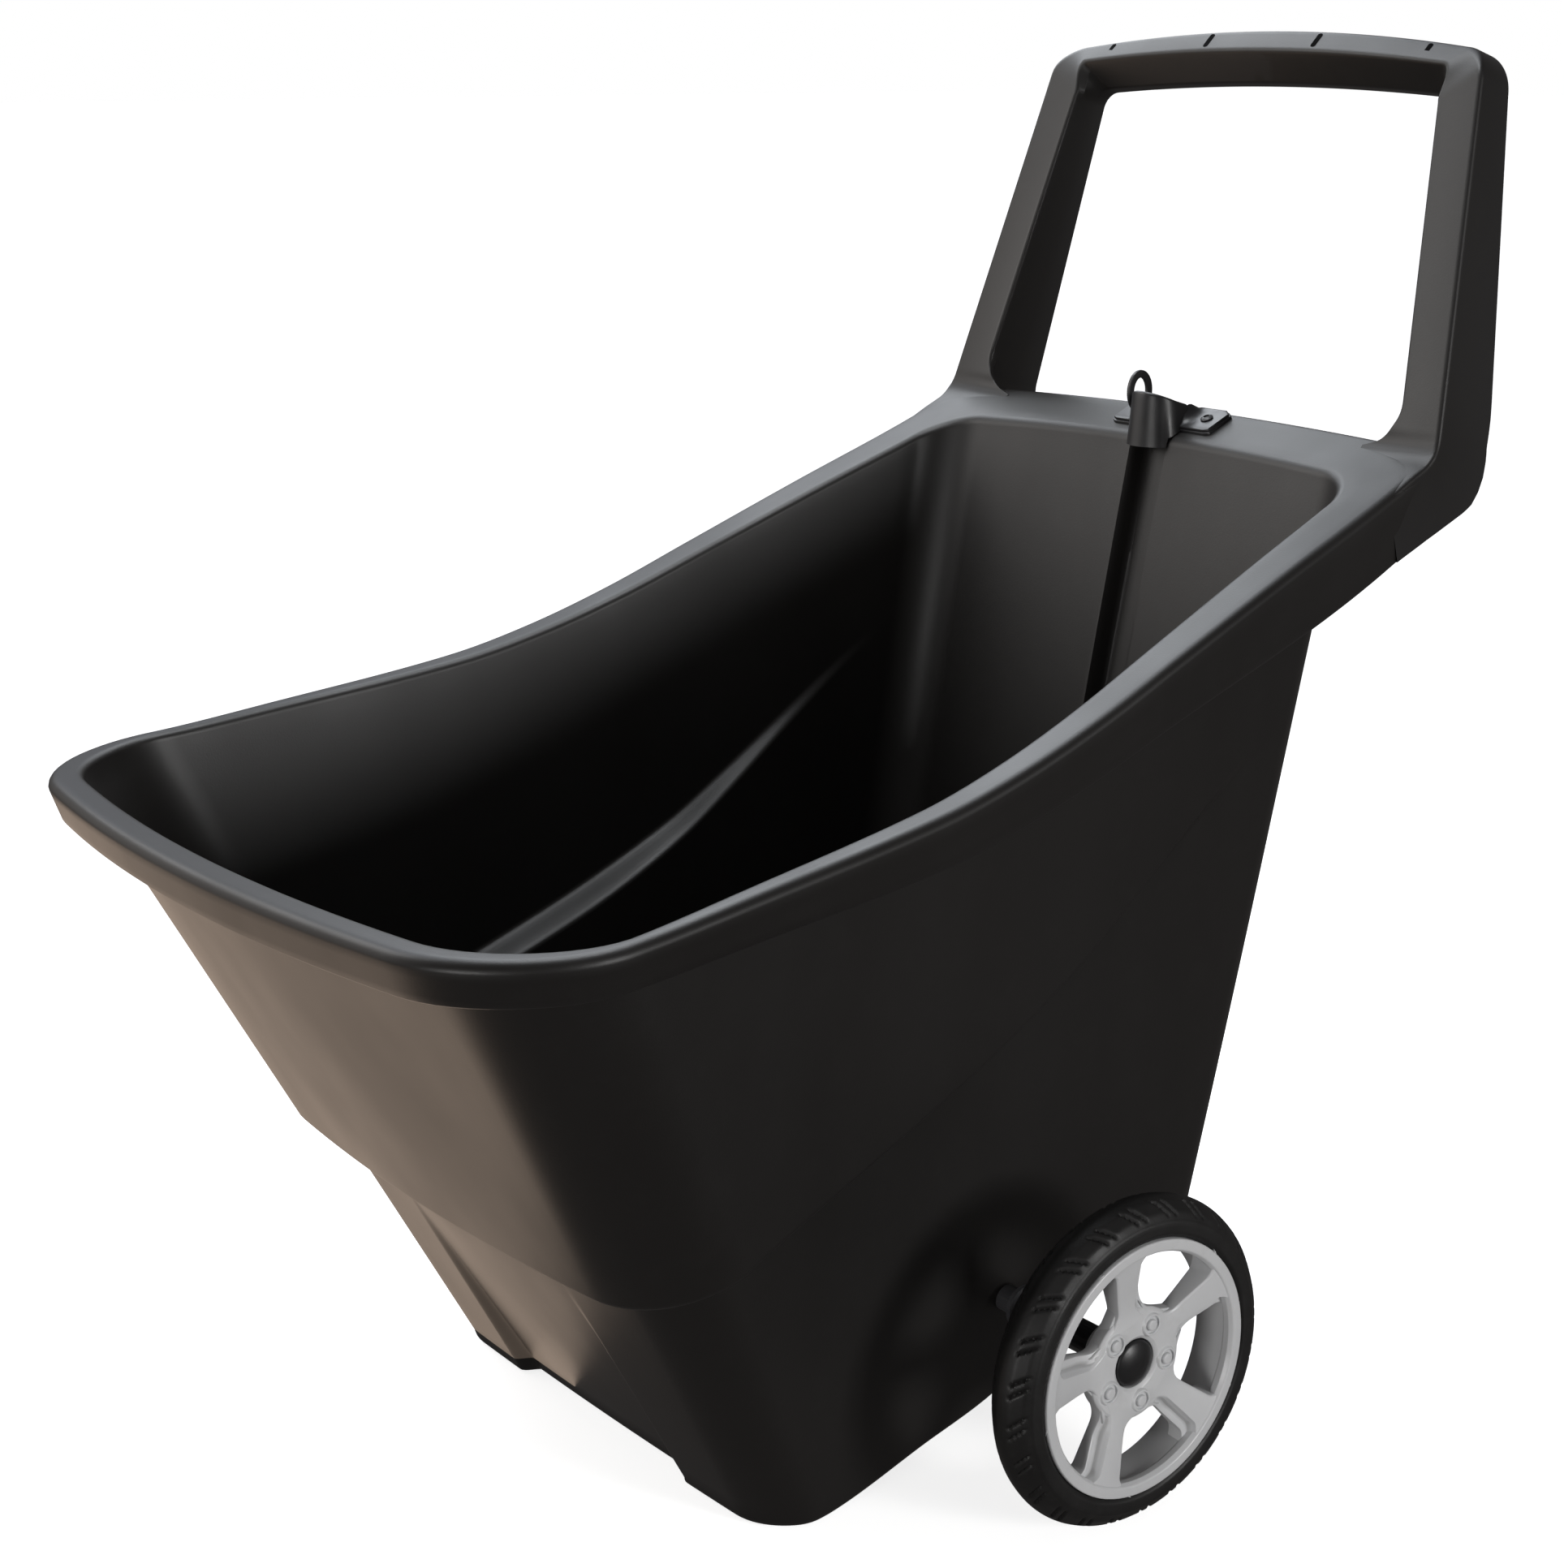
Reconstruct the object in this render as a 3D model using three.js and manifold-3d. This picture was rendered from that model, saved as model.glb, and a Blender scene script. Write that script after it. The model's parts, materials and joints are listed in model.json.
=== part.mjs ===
// Two-wheeled garden cart: a moulded plastic tub with a pull handle, two skid feet and two wheels.
// Millimetres. +Z is up, -Y is the front lip, +Y is the handle, X is the axle direction.
// The pieces are laid out with the axle over Y = 0 and the ground at Z = 0, and the finished group is then
// moved so that its origin is the middle of its footprint.
import * as THREE from "three";
import { mergeVertices } from "three/addons/utils/BufferGeometryUtils.js";
import Module from "manifold-3d";

const wasm = await Module();
wasm.setup();

// ---------------------------------------------------------------- driving dimensions

const GAP = 0.3; // clearance left between touching pieces
const WALL = 3; // tub wall
const FLOOR = 8; // tub floor behind the skid feet
const FRONT_FLOOR = 20; // solid floor over the skid feet, which keeps the weight in front of the axle
const BELLY_RISE = 3; // how far the middle of the underside stands above the skid feet
const BELLY_HALF_WIDTH = 73;

const TYRE_RADIUS = 97;
const AXLE_HEIGHT = TYRE_RADIUS;
const ROD_RADIUS = 5;
const ROD_BORE_RADIUS = 5.06;

// Outlines in plan: half width and corner radius at each end, end positions, and how far each end bulges.
const RIM_OUTER = {
  xFront: 258.5, xRear: 216, yFront: -399, yRear: 293, rFront: 74, rRear: 24, bowFront: 30, bowRear: 10,
};
const RIM_INNER = {
  xFront: 246, xRear: 184, yFront: -383, yRear: 254, rFront: 63, rRear: 32, bowFront: 28, bowRear: 11,
};
const FOOT = {
  xFront: 186, xRear: 170, yFront: -189, yRear: 168, rFront: 52, rRear: 34, bowFront: 4, bowRear: 4,
};
const FOOT_LEVEL = 0;

// Side-view profiles, each a smooth curve through a few [y, z] points.
const RIM_HEIGHT = smoothThrough([
  [-440, 401], [-330, 403], [-240, 412], [-120, 426.5], [-60, 440],
  [0, 459], [60, 482], [150, 516.5], [240, 550],
  [310, 580],
]);
const UNDERSIDE = smoothThrough([
  [-230, 0], [-170, 0], [-126, 0], [-60, 15], [-7, 29], [32, 49], [70, 70], [127, 95], [190, 122],
]);
const LEDGE_HEIGHT = smoothThrough([
  [-300, 170], [-262, 180], [-205, 206], [-136, 233], [-50, 268],
  [18, 302], [58, 328], [160, 400], [240, 450],
]);
const SKIRT_DEPTH = smoothThrough([[-430, 25], [-320, 25], [-130, 31], [50, 40], [180, 49], [300, 49]]);
const SKIRT_TAPER = 6;
const LEDGE_DEPTH = 19;
const LEDGE_BAND = 10;
const RIM_THICKNESS = 3.2;
const RIM_ROUND = 5;

// Recess in the middle of the front panel and groove in the middle of the rear wall.
const RECESS = { inner: 76, outer: 92, top: 142, depth: 11 };
const GROOVE = { inner: 10, outer: 16, depth: 13 };

// Handle: an open-backed channel that leans back from the rear corners of the rim.
const HANDLE = {
  lean: THREE.MathUtils.degToRad(15.5),
  footY: 283,
  footZ: 566,
  halfWidthFoot: 216.4,
  halfWidthTop: 180,
  height: 250,
  arch: 8,
  legFace: 31,
  barFace: 28.5,
  depthFoot: 53,
  depthTop: 26,
  wall: 2.2,
  cornerRadius: 28,
  reachDown: 12,
};

// Stack of parts along the axle, outwards from the tub: distances from the middle of the cart.
const BOSS_FACE = 181;
const BUSH_FLANGE = 3;
const HUB_INNER = 247.7;
const HUB_SEAT = 264;
const HUB_FACE = 274;
const SPACER_RADIUS = 9.5;
const INNER_WASHER_RADIUS = 11;
const OUTER_WASHER_RADIUS = 10.5;
const WASHER = 1.5;
const ROD_END = 271;
const TYRE_INNER = 251;
const TYRE_OUTER = 282;

// ---------------------------------------------------------------- helpers

// Cubic curve through points [u, v], read as v at a given u. Straight beyond its ends.
function smoothThrough(points) {
  const slopes = points.map((point, i) => {
    const before = points[Math.max(i - 1, 0)];
    const after = points[Math.min(i + 1, points.length - 1)];
    return (after[1] - before[1]) / (after[0] - before[0]);
  });
  return (u) => {
    const last = points.length - 1;
    if (u <= points[0][0]) return points[0][1] + slopes[0] * (u - points[0][0]);
    if (u >= points[last][0]) return points[last][1] + slopes[last] * (u - points[last][0]);
    const i = points.findIndex((point) => point[0] > u) - 1;
    const span = points[i + 1][0] - points[i][0];
    const t = (u - points[i][0]) / span;
    const a = 2 * t ** 3 - 3 * t ** 2 + 1;
    const b = t ** 3 - 2 * t ** 2 + t;
    const c = -2 * t ** 3 + 3 * t ** 2;
    const d = t ** 3 - t ** 2;
    return a * points[i][1] + b * span * slopes[i] + c * points[i + 1][1] + d * span * slopes[i + 1];
  };
}

const ramp = THREE.MathUtils.smoothstep;
const mix = THREE.MathUtils.lerp;

// A closed geometry as a manifold solid, and back.
function solid(geometry) {
  const bare = geometry.clone();
  bare.deleteAttribute("normal");
  bare.deleteAttribute("uv");
  const merged = mergeVertices(bare, 1e-4);
  const mesh = new wasm.Mesh({
    numProp: 3,
    vertProperties: new Float32Array(merged.attributes.position.array),
    triVerts: new Uint32Array(merged.index.array),
  });
  return new wasm.Manifold(mesh);
}

function geometryOf(manifold) {
  const mesh = manifold.getMesh();
  const geometry = new THREE.BufferGeometry();
  geometry.setAttribute("position", new THREE.BufferAttribute(mesh.vertProperties, 3));
  geometry.setIndex(new THREE.BufferAttribute(mesh.triVerts, 1));
  geometry.computeVertexNormals();
  return geometry;
}

const SLIVER = 0.02;

// The cuts can leave slivers of no volume beside the real body.
function largestBody(manifold) {
  return manifold.decompose().reduce((best, piece) => (piece.volume() > best.volume() ? piece : best));
}

// Turns every face over, for a shape that has been mirrored.
function reverseFaces(geometry) {
  const position = geometry.attributes.position;
  for (let i = 0; i < position.count; i += 3) {
    const [x, y, z] = [position.getX(i), position.getY(i), position.getZ(i)];
    position.setXYZ(i, position.getX(i + 1), position.getY(i + 1), position.getZ(i + 1));
    position.setXYZ(i + 1, x, y, z);
  }
}

// A part turned about X: profile points are [distance along X, radius], closed on itself or on the axis.
function turned(profile, segments = 24) {
  const points = profile.map(([along, radius]) => new THREE.Vector2(radius, along));
  const geometry = new THREE.LatheGeometry(points, segments);
  geometry.rotateZ(-Math.PI / 2);
  const start = profile[0];
  const end = profile[profile.length - 1];
  const area = profile.reduce((sum, p, i) => {
    const q = profile[(i + 1) % profile.length];
    return sum + p[0] * q[1] - q[0] * p[1];
  }, 0);
  const closed = start[0] === end[0] && start[1] === end[1];
  if (area > 0 && (closed || start[1] + end[1] === 0)) geometry.index.array.reverse();
  return geometry;
}

// A plain ring (or a rod, with no inner radius) between two places on X.
function sleeve(from, to, outer, inner = 0, segments = 24) {
  if (inner === 0) return turned([[from, 0], [from, outer], [to, outer], [to, 0]], segments);
  return turned([[from, inner], [from, outer], [to, outer], [to, inner], [from, inner]], segments);
}

// A prism of a [y, z] outline between two places on X.
function prismAlongX(outline, from, to) {
  const shape = new THREE.Shape(outline.map(([y, z]) => new THREE.Vector2(y, z)));
  const geometry = new THREE.ExtrudeGeometry(shape, { depth: to - from, bevelEnabled: false, steps: 1 });
  geometry.applyMatrix4(new THREE.Matrix4().makeBasis(
    new THREE.Vector3(0, 1, 0), new THREE.Vector3(0, 0, 1), new THREE.Vector3(1, 0, 0)));
  geometry.translate(from, 0, 0);
  return geometry;
}

function boxAt(x0, x1, y0, y1, z0, z1) {
  const geometry = new THREE.BoxGeometry(x1 - x0, y1 - y0, z1 - z0);
  geometry.translate((x0 + x1) / 2, (y0 + y1) / 2, (z0 + z1) / 2);
  return geometry;
}

// Rings of equal length joined into one closed surface. "loop" joins the last ring back to the first;
// otherwise both ends are closed by a fan of triangles about the ring's own centre.
function loft(rings, loop = false) {
  const count = rings[0].length;
  const positions = rings.flat(2);
  const index = [];
  const last = loop ? rings.length : rings.length - 1;
  for (let r = 0; r < last; r += 1) {
    const next = (r + 1) % rings.length;
    for (let i = 0; i < count; i += 1) {
      const j = (i + 1) % count;
      const [a, b, c, d] = [r * count + i, r * count + j, next * count + j, next * count + i];
      index.push(a, b, c, a, c, d);
    }
  }
  if (!loop) {
    const addFan = (ring, start, up) => {
      const centre = ring.reduce((sum, p) => sum.map((v, k) => v + p[k] / count), [0, 0, 0]);
      positions.push(...centre);
      const tip = positions.length / 3 - 1;
      for (let i = 0; i < count; i += 1) {
        const j = (i + 1) % count;
        if (up) index.push(start + i, start + j, tip);
        else index.push(start + j, start + i, tip);
      }
    };
    addFan(rings[0], 0, false);
    addFan(rings[rings.length - 1], (rings.length - 1) * count, true);
  }
  const geometry = new THREE.BufferGeometry();
  geometry.setAttribute("position", new THREE.BufferAttribute(new Float32Array(positions), 3));
  geometry.setIndex(index);
  return geometry;
}

// ---------------------------------------------------------------- outlines of the tub in plan

const FRONT_STEPS = [0, 0.17, 0.34, 0.5, 0.61, 0.73, 0.86];
const REAR_STEPS = [1, 0.75, 0.5, 0.3, 0.13, 0.08];
const CORNER_STEPS = 4;
const SIDE_STEPS = 12;

// Half outline from the middle of the front, round the +X side, to the middle of the rear.
function halfOutline(spec) {
  const points = [];
  const bulge = (x, half, bow) => bow * (1 - (x / half) ** 2);
  const frontStraight = spec.xFront - spec.rFront;
  for (const step of FRONT_STEPS) points.push([step * frontStraight, spec.yFront]);
  for (let i = 0; i <= CORNER_STEPS; i += 1) {
    const angle = -Math.PI / 2 + (i / CORNER_STEPS) * (Math.PI / 2);
    const x = frontStraight + spec.rFront * Math.cos(angle);
    points.push([x, spec.yFront + spec.rFront + spec.rFront * Math.sin(angle)]);
  }
  const from = spec.yFront + spec.rFront;
  const to = spec.yRear - spec.rRear;
  for (let i = 1; i < SIDE_STEPS; i += 1) {
    const t = i / SIDE_STEPS;
    points.push([mix(spec.xFront, spec.xRear, t), mix(from, to, t)]);
  }
  const rearStraight = spec.xRear - spec.rRear;
  for (let i = 0; i <= CORNER_STEPS; i += 1) {
    const angle = (i / CORNER_STEPS) * (Math.PI / 2);
    points.push([rearStraight + spec.rRear * Math.cos(angle), to + spec.rRear * Math.sin(angle)]);
  }
  for (const step of REAR_STEPS.slice(1)) points.push([step * rearStraight, spec.yRear]);
  points.push([0, spec.yRear]);
  const middle = (spec.yFront + spec.yRear) / 2;
  return points.map(([x, y]) => {
    if (y < middle) return [x, y - bulge(x, spec.xFront, spec.bowFront) * ramp(-y, -from, -spec.yFront)];
    return [x, y + bulge(x, spec.xRear, spec.bowRear) * ramp(y, to, spec.yRear)];
  });
}

// Whole outline, mirrored about X = 0, anticlockwise seen from above.
function outline(spec) {
  const half = halfOutline(spec);
  const mirrored = half.slice(1, -1).reverse().map(([x, y]) => [-x, y]);
  return [...half, ...mirrored];
}

function shrunk(spec, by) {
  return {
    ...spec,
    xFront: spec.xFront - by,
    xRear: spec.xRear - by,
    yFront: spec.yFront + by,
    yRear: spec.yRear - by,
    rFront: Math.max(spec.rFront - by, 2),
    rRear: Math.max(spec.rRear - by, 2),
  };
}

// ---------------------------------------------------------------- tub walls

const WALL_TOP = outline(RIM_INNER);
const WALL_FOOT = outline(FOOT);
const WALL_INWARD = outline(shrunk(FOOT, 10)).map(([x, y], i) => {
  const inward = new THREE.Vector2(x - WALL_FOOT[i][0], y - WALL_FOOT[i][1]).normalize();
  return [inward.x, inward.y];
});

// How far the wall is set in below the side ledge, and how the recess and the groove move it.
function ledgeInset(y) {
  return LEDGE_DEPTH * (1 - ramp(y, -60, 200));
}

function recessShift(x, z) {
  const across = 1 - ramp(Math.abs(x), RECESS.inner, RECESS.outer);
  return across * RECESS.depth * THREE.MathUtils.clamp((RECESS.top - z) / RECESS.top, 0, 1);
}

function grooveShift(x) {
  return GROOVE.depth * (1 - ramp(Math.abs(x), GROOVE.inner, GROOVE.outer));
}

// Point of the wall's inner face on column i at height z; "inset" is 0 above the ledge and 1 below it.
function wallPoint(i, z, inset, outwards) {
  const [topX, topY] = WALL_TOP[i];
  const [footX, footY] = WALL_FOOT[i];
  const topZ = RIM_HEIGHT(topY);
  const footZ = UNDERSIDE(footY);
  const t = (topZ - z) / (topZ - footZ);
  let x = mix(topX, footX, t);
  let y = mix(topY, footY, t);
  const shift = inset * ledgeInset(y) + WALL * t - outwards;
  x += WALL_INWARD[i][0] * shift;
  y += WALL_INWARD[i][1] * shift;
  if (WALL_INWARD[i][1] > 0.9) y += recessShift(x, z);
  if (WALL_INWARD[i][1] < -0.9) y += grooveShift(x);
  return [x, y, z];
}

// Height on column i where the wall meets a [y, z] profile.
function meetingHeight(i, profile, lift) {
  let z = 200;
  for (let k = 0; k < 8; k += 1) z = profile(wallPoint(i, z, 0, 0)[1]) + lift;
  return z;
}

function wallRing(heightOf, inset, outwards) {
  return WALL_TOP.map((_, i) => wallPoint(i, heightOf(i), inset, outwards));
}

// The rings run upwards: below the floor, mid height, both edges of the ledge, upper wall, top.
function wallLoft(outwards, topLift) {
  const ledge = WALL_TOP.map((_, i) => meetingHeight(i, LEDGE_HEIGHT, 0));
  const top = WALL_TOP.map(([, y]) => RIM_HEIGHT(y));
  const rings = [
    wallRing(() => -30, 1, outwards),
    wallRing((i) => mix(-30, ledge[i] - LEDGE_BAND, 0.3), 1, outwards),
    wallRing((i) => mix(-30, ledge[i] - LEDGE_BAND, 0.6), 1, outwards),
    wallRing((i) => ledge[i] - LEDGE_BAND, 1, outwards),
    wallRing((i) => ledge[i], 0, outwards),
    wallRing((i) => mix(ledge[i], top[i], 0.5), 0, outwards),
    wallRing((i) => top[i] - RIM_THICKNESS / 2, 0, outwards),
  ];
  if (topLift > 0) {
    const last = rings[rings.length - 1];
    rings.push(last.map(([x, y, z]) => [x, y, z + topLift]));
  }
  return solid(loft(rings));
}

// ---------------------------------------------------------------- rim, handle and underside of the tub

function rimRing(spec, drop) {
  return outline(spec).map(([x, y]) => [x, y, RIM_HEIGHT(y) - drop(y)]);
}

// Flat rim sheet with a turned-down skirt, as one closed section carried round the outline.
function rimSolid() {
  const innerFace = shrunk(RIM_OUTER, WALL);
  return solid(loft([
    rimRing(shrunk(RIM_OUTER, SKIRT_TAPER), SKIRT_DEPTH),
    rimRing(RIM_OUTER, () => RIM_ROUND),
    rimRing(shrunk(RIM_OUTER, RIM_ROUND * 0.3), () => RIM_ROUND * 0.3),
    rimRing(shrunk(RIM_OUTER, RIM_ROUND), () => 0),
    rimRing(RIM_INNER, () => 0),
    rimRing(RIM_INNER, () => RIM_THICKNESS),
    rimRing(innerFace, () => RIM_THICKNESS),
    rimRing(shrunk(innerFace, SKIRT_TAPER), SKIRT_DEPTH),
  ], true));
}

const RIB_THICKNESS = 2;
const RIB_HEIGHTS = [75, 135, 190];
const BAR_RIBS = [-90, 0, 90];
const SLOTS = [-135, -46, 46, 135];

// Outline of the handle in its own leaning plane: x across, y up along the lean. "inset" shrinks the band.
function handleShape(inset) {
  const h = HANDLE;
  const foot = -h.reachDown - 4 * inset;
  const outerAt = (y) => mix(h.halfWidthFoot, h.halfWidthTop, y / h.height) - inset;
  const innerAt = (y) => mix(h.halfWidthFoot, h.halfWidthTop, y / h.height) - h.legFace + inset;
  const top = h.height - inset;
  const r = h.cornerRadius - inset;
  const shape = new THREE.Shape();
  shape.moveTo(outerAt(foot), foot);
  shape.lineTo(outerAt(top - r), top - r);
  shape.quadraticCurveTo(outerAt(top), top, outerAt(top) - r, top + 1);
  shape.quadraticCurveTo(0, top + 2 * h.arch, -outerAt(top) + r, top + 1);
  shape.quadraticCurveTo(-outerAt(top), top, -outerAt(top - r), top - r);
  shape.lineTo(-outerAt(foot), foot);
  const fillet = 26;
  const barBelow = h.height - h.barFace + inset;
  const innerCorner = 16;
  const inner = [[-1, false], [1, true]];
  for (const [side, downwards] of inner) {
    const lower = [side * (innerAt(0) - fillet), inset + 2];
    const legStart = [side * innerAt(fillet), fillet + 2];
    const legEnd = [side * innerAt(barBelow - innerCorner), barBelow - innerCorner];
    const corner = [side * innerAt(barBelow), barBelow];
    const bar = [side * (innerAt(barBelow) - innerCorner), barBelow + 0.5];
    if (!downwards) {
      shape.lineTo(side * (innerAt(0) - fillet), foot);
      shape.lineTo(...lower);
      shape.quadraticCurveTo(side * innerAt(2), inset + 2, ...legStart);
      shape.lineTo(...legEnd);
      shape.quadraticCurveTo(...corner, ...bar);
    } else {
      shape.quadraticCurveTo(0, barBelow + 0.8 * h.arch, ...bar);
      shape.quadraticCurveTo(...corner, ...legEnd);
      shape.lineTo(...legStart);
      shape.quadraticCurveTo(side * innerAt(2), inset + 2, ...lower);
      shape.lineTo(side * (innerAt(0) - fillet), foot);
    }
  }
  return shape;
}

// Leaning plane of the handle: local x stays across, y runs up the lean, z points out of its back.
function placeOnHandle(geometry) {
  const up = new THREE.Vector3(0, Math.sin(HANDLE.lean), Math.cos(HANDLE.lean));
  const back = new THREE.Vector3(0, Math.cos(HANDLE.lean), -Math.sin(HANDLE.lean));
  const frame = new THREE.Matrix4().makeBasis(new THREE.Vector3(-1, 0, 0), up, back);
  geometry.applyMatrix4(frame);
  geometry.translate(0, HANDLE.footY, HANDLE.footZ);
  return geometry;
}

// Front face and two side flanges, open at the back, with cross ribs in the channel and slots in the grip.
function handleSolid() {
  const h = HANDLE;
  const round = 5;
  const full = new THREE.ExtrudeGeometry(handleShape(0), {
    depth: 60, curveSegments: 4, bevelEnabled: true, bevelThickness: round, bevelSize: round,
    bevelOffset: -round, bevelSegments: 2,
  });
  full.translate(0, 0, round);
  const hollowSettings = { depth: 80, curveSegments: 4, bevelEnabled: false };
  const hollow = new THREE.ExtrudeGeometry(handleShape(h.wall), hollowSettings);
  hollow.translate(0, 0, h.wall + 1);
  let channel = solid(placeOnHandle(full)).subtract(solid(placeOnHandle(hollow)));
  for (const side of [-1, 1]) {
    for (const height of RIB_HEIGHTS) {
      const middle = side * (mix(h.halfWidthFoot, h.halfWidthTop, height / h.height) - h.legFace / 2);
      const half = h.legFace / 2 - 1;
      const rib = boxAt(middle - half, middle + half, height, height + RIB_THICKNESS, 1, 22);
      channel = channel.add(solid(placeOnHandle(rib)));
    }
  }
  for (const place of BAR_RIBS) {
    const rib = boxAt(place, place + RIB_THICKNESS, h.height - h.barFace + 2, h.height + 1, 1, 20);
    channel = channel.add(solid(placeOnHandle(rib)));
  }
  const slopes = Math.atan2(h.depthFoot - h.depthTop, h.height);
  const backCut = boxAt(-260, 260, -120, 330, 0, 80);
  backCut.rotateX(-slopes);
  backCut.translate(0, 0, h.depthFoot);
  channel = channel.subtract(solid(placeOnHandle(backCut)));
  for (const place of SLOTS) {
    const slot = boxAt(-1.2, 1.2, -8, 8, -7, 7);
    slot.rotateY(THREE.MathUtils.degToRad(35));
    slot.translate(place, h.height + 2 + h.arch * (1 - (place / 160) ** 2), 12);
    channel = channel.subtract(solid(placeOnHandle(slot)));
  }
  return channel;
}

// Side plates under the rear corners that carry the rim's tapered skirt on into the handle's legs.
function handleGussets() {
  const thickness = 2.6;
  const seamFront = [170, RIM_HEIGHT(170)];
  const seamRear = [336, 574];
  const plate = [seamFront, [170, 475], [183, 480], [318, 532], [331, 541], [336, 556], seamRear];
  const slope = SKIRT_TAPER / SKIRT_DEPTH(200);
  const seamSlope = (seamRear[1] - seamFront[1]) / (seamRear[0] - seamFront[0]);
  let gussets = null;
  for (const side of [-1, 1]) {
    const geometry = prismAlongX(plate, RIM_OUTER.xRear - thickness, RIM_OUTER.xRear);
    const position = geometry.attributes.position;
    for (let i = 0; i < position.count; i += 1) {
      const below = seamFront[1] + seamSlope * (position.getY(i) - seamFront[0]) - position.getZ(i);
      position.setX(i, side * (position.getX(i) - below * slope));
    }
    if (side < 0) reverseFaces(geometry);
    gussets = gussets ? gussets.add(solid(geometry)) : solid(geometry);
  }
  return gussets;
}

// Everything above a [y, z] line, across the whole width.
function above(line) {
  const top = 900;
  const first = line[0][0];
  const last = line[line.length - 1][0];
  return solid(prismAlongX([...line, [last, top], [first, top]], -300, 300));
}

// Inner floor: it follows the underside and steps up over the axle tunnel.
const TUNNEL = { front: -44, rear: 36, halfTop: 20, top: AXLE_HEIGHT + 8 };

function floorLine() {
  const lift = (y) => [y, UNDERSIDE(y) + FLOOR];
  return [
    [-470, FRONT_FLOOR], [-76, FRONT_FLOOR], lift(-50),
    [-TUNNEL.halfTop - 6, TUNNEL.top + 5], [TUNNEL.halfTop + 6, TUNNEL.top + 5],
    lift(42), lift(70), lift(100), lift(127), lift(160), lift(330),
  ];
}

function undersideLine() {
  const stations = [-470, -170, -126, -90, -60, -30, -7, 15, 32, 50, 70, 100, 127, 160, 330];
  return stations.map((y) => [y, UNDERSIDE(y)]);
}

// Tunnel under the floor that the axle rod runs through, divided by ribs that hold the rod.
const TUNNEL_END = 162;
const TUNNEL_RIBS = [-110, -38, 38, 110];
const RIB = 4;

function tunnelSolid() {
  const section = [
    [TUNNEL.front, -40], [-TUNNEL.halfTop, TUNNEL.top], [TUNNEL.halfTop, TUNNEL.top],
    [TUNNEL.rear - 2, 55], [TUNNEL.rear, -40],
  ];
  const edges = [-TUNNEL_END, ...TUNNEL_RIBS.flatMap((x) => [x - RIB / 2, x + RIB / 2]), TUNNEL_END];
  let tunnel = null;
  for (let i = 0; i < edges.length; i += 2) {
    const bay = solid(prismAlongX(section.slice().reverse(), edges[i], edges[i + 1]));
    tunnel = tunnel ? tunnel.add(bay) : bay;
  }
  return tunnel;
}

function bellySolid() {
  const line = undersideLine().map(([y, z]) => [y, z + BELLY_RISE]);
  const outlinePoints = [[-470, -60], [330, -60], ...line.slice().reverse()];
  return solid(prismAlongX(outlinePoints, -BELLY_HALF_WIDTH, BELLY_HALF_WIDTH));
}

// Tool clip seat: the place on the rear rim where the clip rests, and its screw holes.
const CLIP = {
  y: 281, lift: 0.7, tilt: Math.atan2(RIM_HEIGHT(291) - RIM_HEIGHT(271), 20),
  halfWidth: 42, front: -8, back: 18, thickness: 3, corner: 4, screwX: 31, screwY: 5, screwRadius: 2,
};

// What lies flat on the sloping rim is tilted with it; what stands upright on it is only moved there.
function onRim(geometry) {
  geometry.rotateX(CLIP.tilt);
  return uprightOnRim(geometry);
}

function uprightOnRim(geometry) {
  geometry.translate(0, CLIP.y, RIM_HEIGHT(CLIP.y) + CLIP.lift);
  return geometry;
}

function alongZ(geometry) {
  geometry.rotateY(-Math.PI / 2);
  return geometry;
}

function tubBody() {
  let body = wallLoft(WALL, 0);
  body = body.intersect(above(undersideLine()));
  for (const side of [-1, 1]) {
    const boss = side > 0 ? sleeve(150, BOSS_FACE, 19) : sleeve(-BOSS_FACE, -150, 19);
    boss.translate(0, 0, AXLE_HEIGHT);
    body = body.add(solid(boss));
  }
  body = body.add(rimSolid());
  body = body.add(handleSolid());
  body = body.add(handleGussets());
  const cavity = wallLoft(0, 120).intersect(above(floorLine()));
  body = body.subtract(cavity);
  body = body.subtract(tunnelSolid());
  body = body.subtract(bellySolid());
  const rodHole = sleeve(-300, 300, ROD_RADIUS + GAP, 0, 32);
  rodHole.translate(0, 0, AXLE_HEIGHT);
  body = body.subtract(solid(rodHole));
  for (const side of [-1, 1]) {
    const seat = side > 0 ? sleeve(TUNNEL_END - 2, 300, 8 + GAP) : sleeve(-300, -TUNNEL_END + 2, 8 + GAP);
    seat.translate(0, 0, AXLE_HEIGHT);
    body = body.subtract(solid(seat));
    const screwHole = alongZ(sleeve(-20, 20, CLIP.screwRadius + GAP, 0, 12));
    screwHole.translate(side * CLIP.screwX, CLIP.screwY, 0);
    body = body.subtract(solid(onRim(screwHole)));
  }
  return geometryOf(largestBody(body.simplify(SLIVER)));
}

// ---------------------------------------------------------------- wheels and axle

const RIM_SEAT = 75.5;
const SPOKES = 5;
const SPOKE_START = THREE.MathUtils.degToRad(28);
const LUG_START = THREE.MathUtils.degToRad(64);
const LUG_CIRCLE = 23.5;
const SPOKE_DEPTH = 9;

function tyreGeometry() {
  const middle = (TYRE_INNER + TYRE_OUTER) / 2;
  const half = (TYRE_OUTER - TYRE_INNER) / 2;
  const inner = RIM_SEAT + GAP;
  const r = TYRE_RADIUS;
  const section = [
    [-half + 2, inner], [-half, inner + 4], [-half, r - 13],
    [-half + 3, r - 7.5], [-half + 9, r - 2.6], [-5, r],
    [5, r], [half - 9, r - 2.6], [half - 3, r - 7.5],
    [half, r - 13], [half, inner + 4], [half - 2, inner],
    [-half + 2, inner],
  ];
  return turned(section.map(([x, radius]) => [x + middle, radius]), 48);
}

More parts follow.
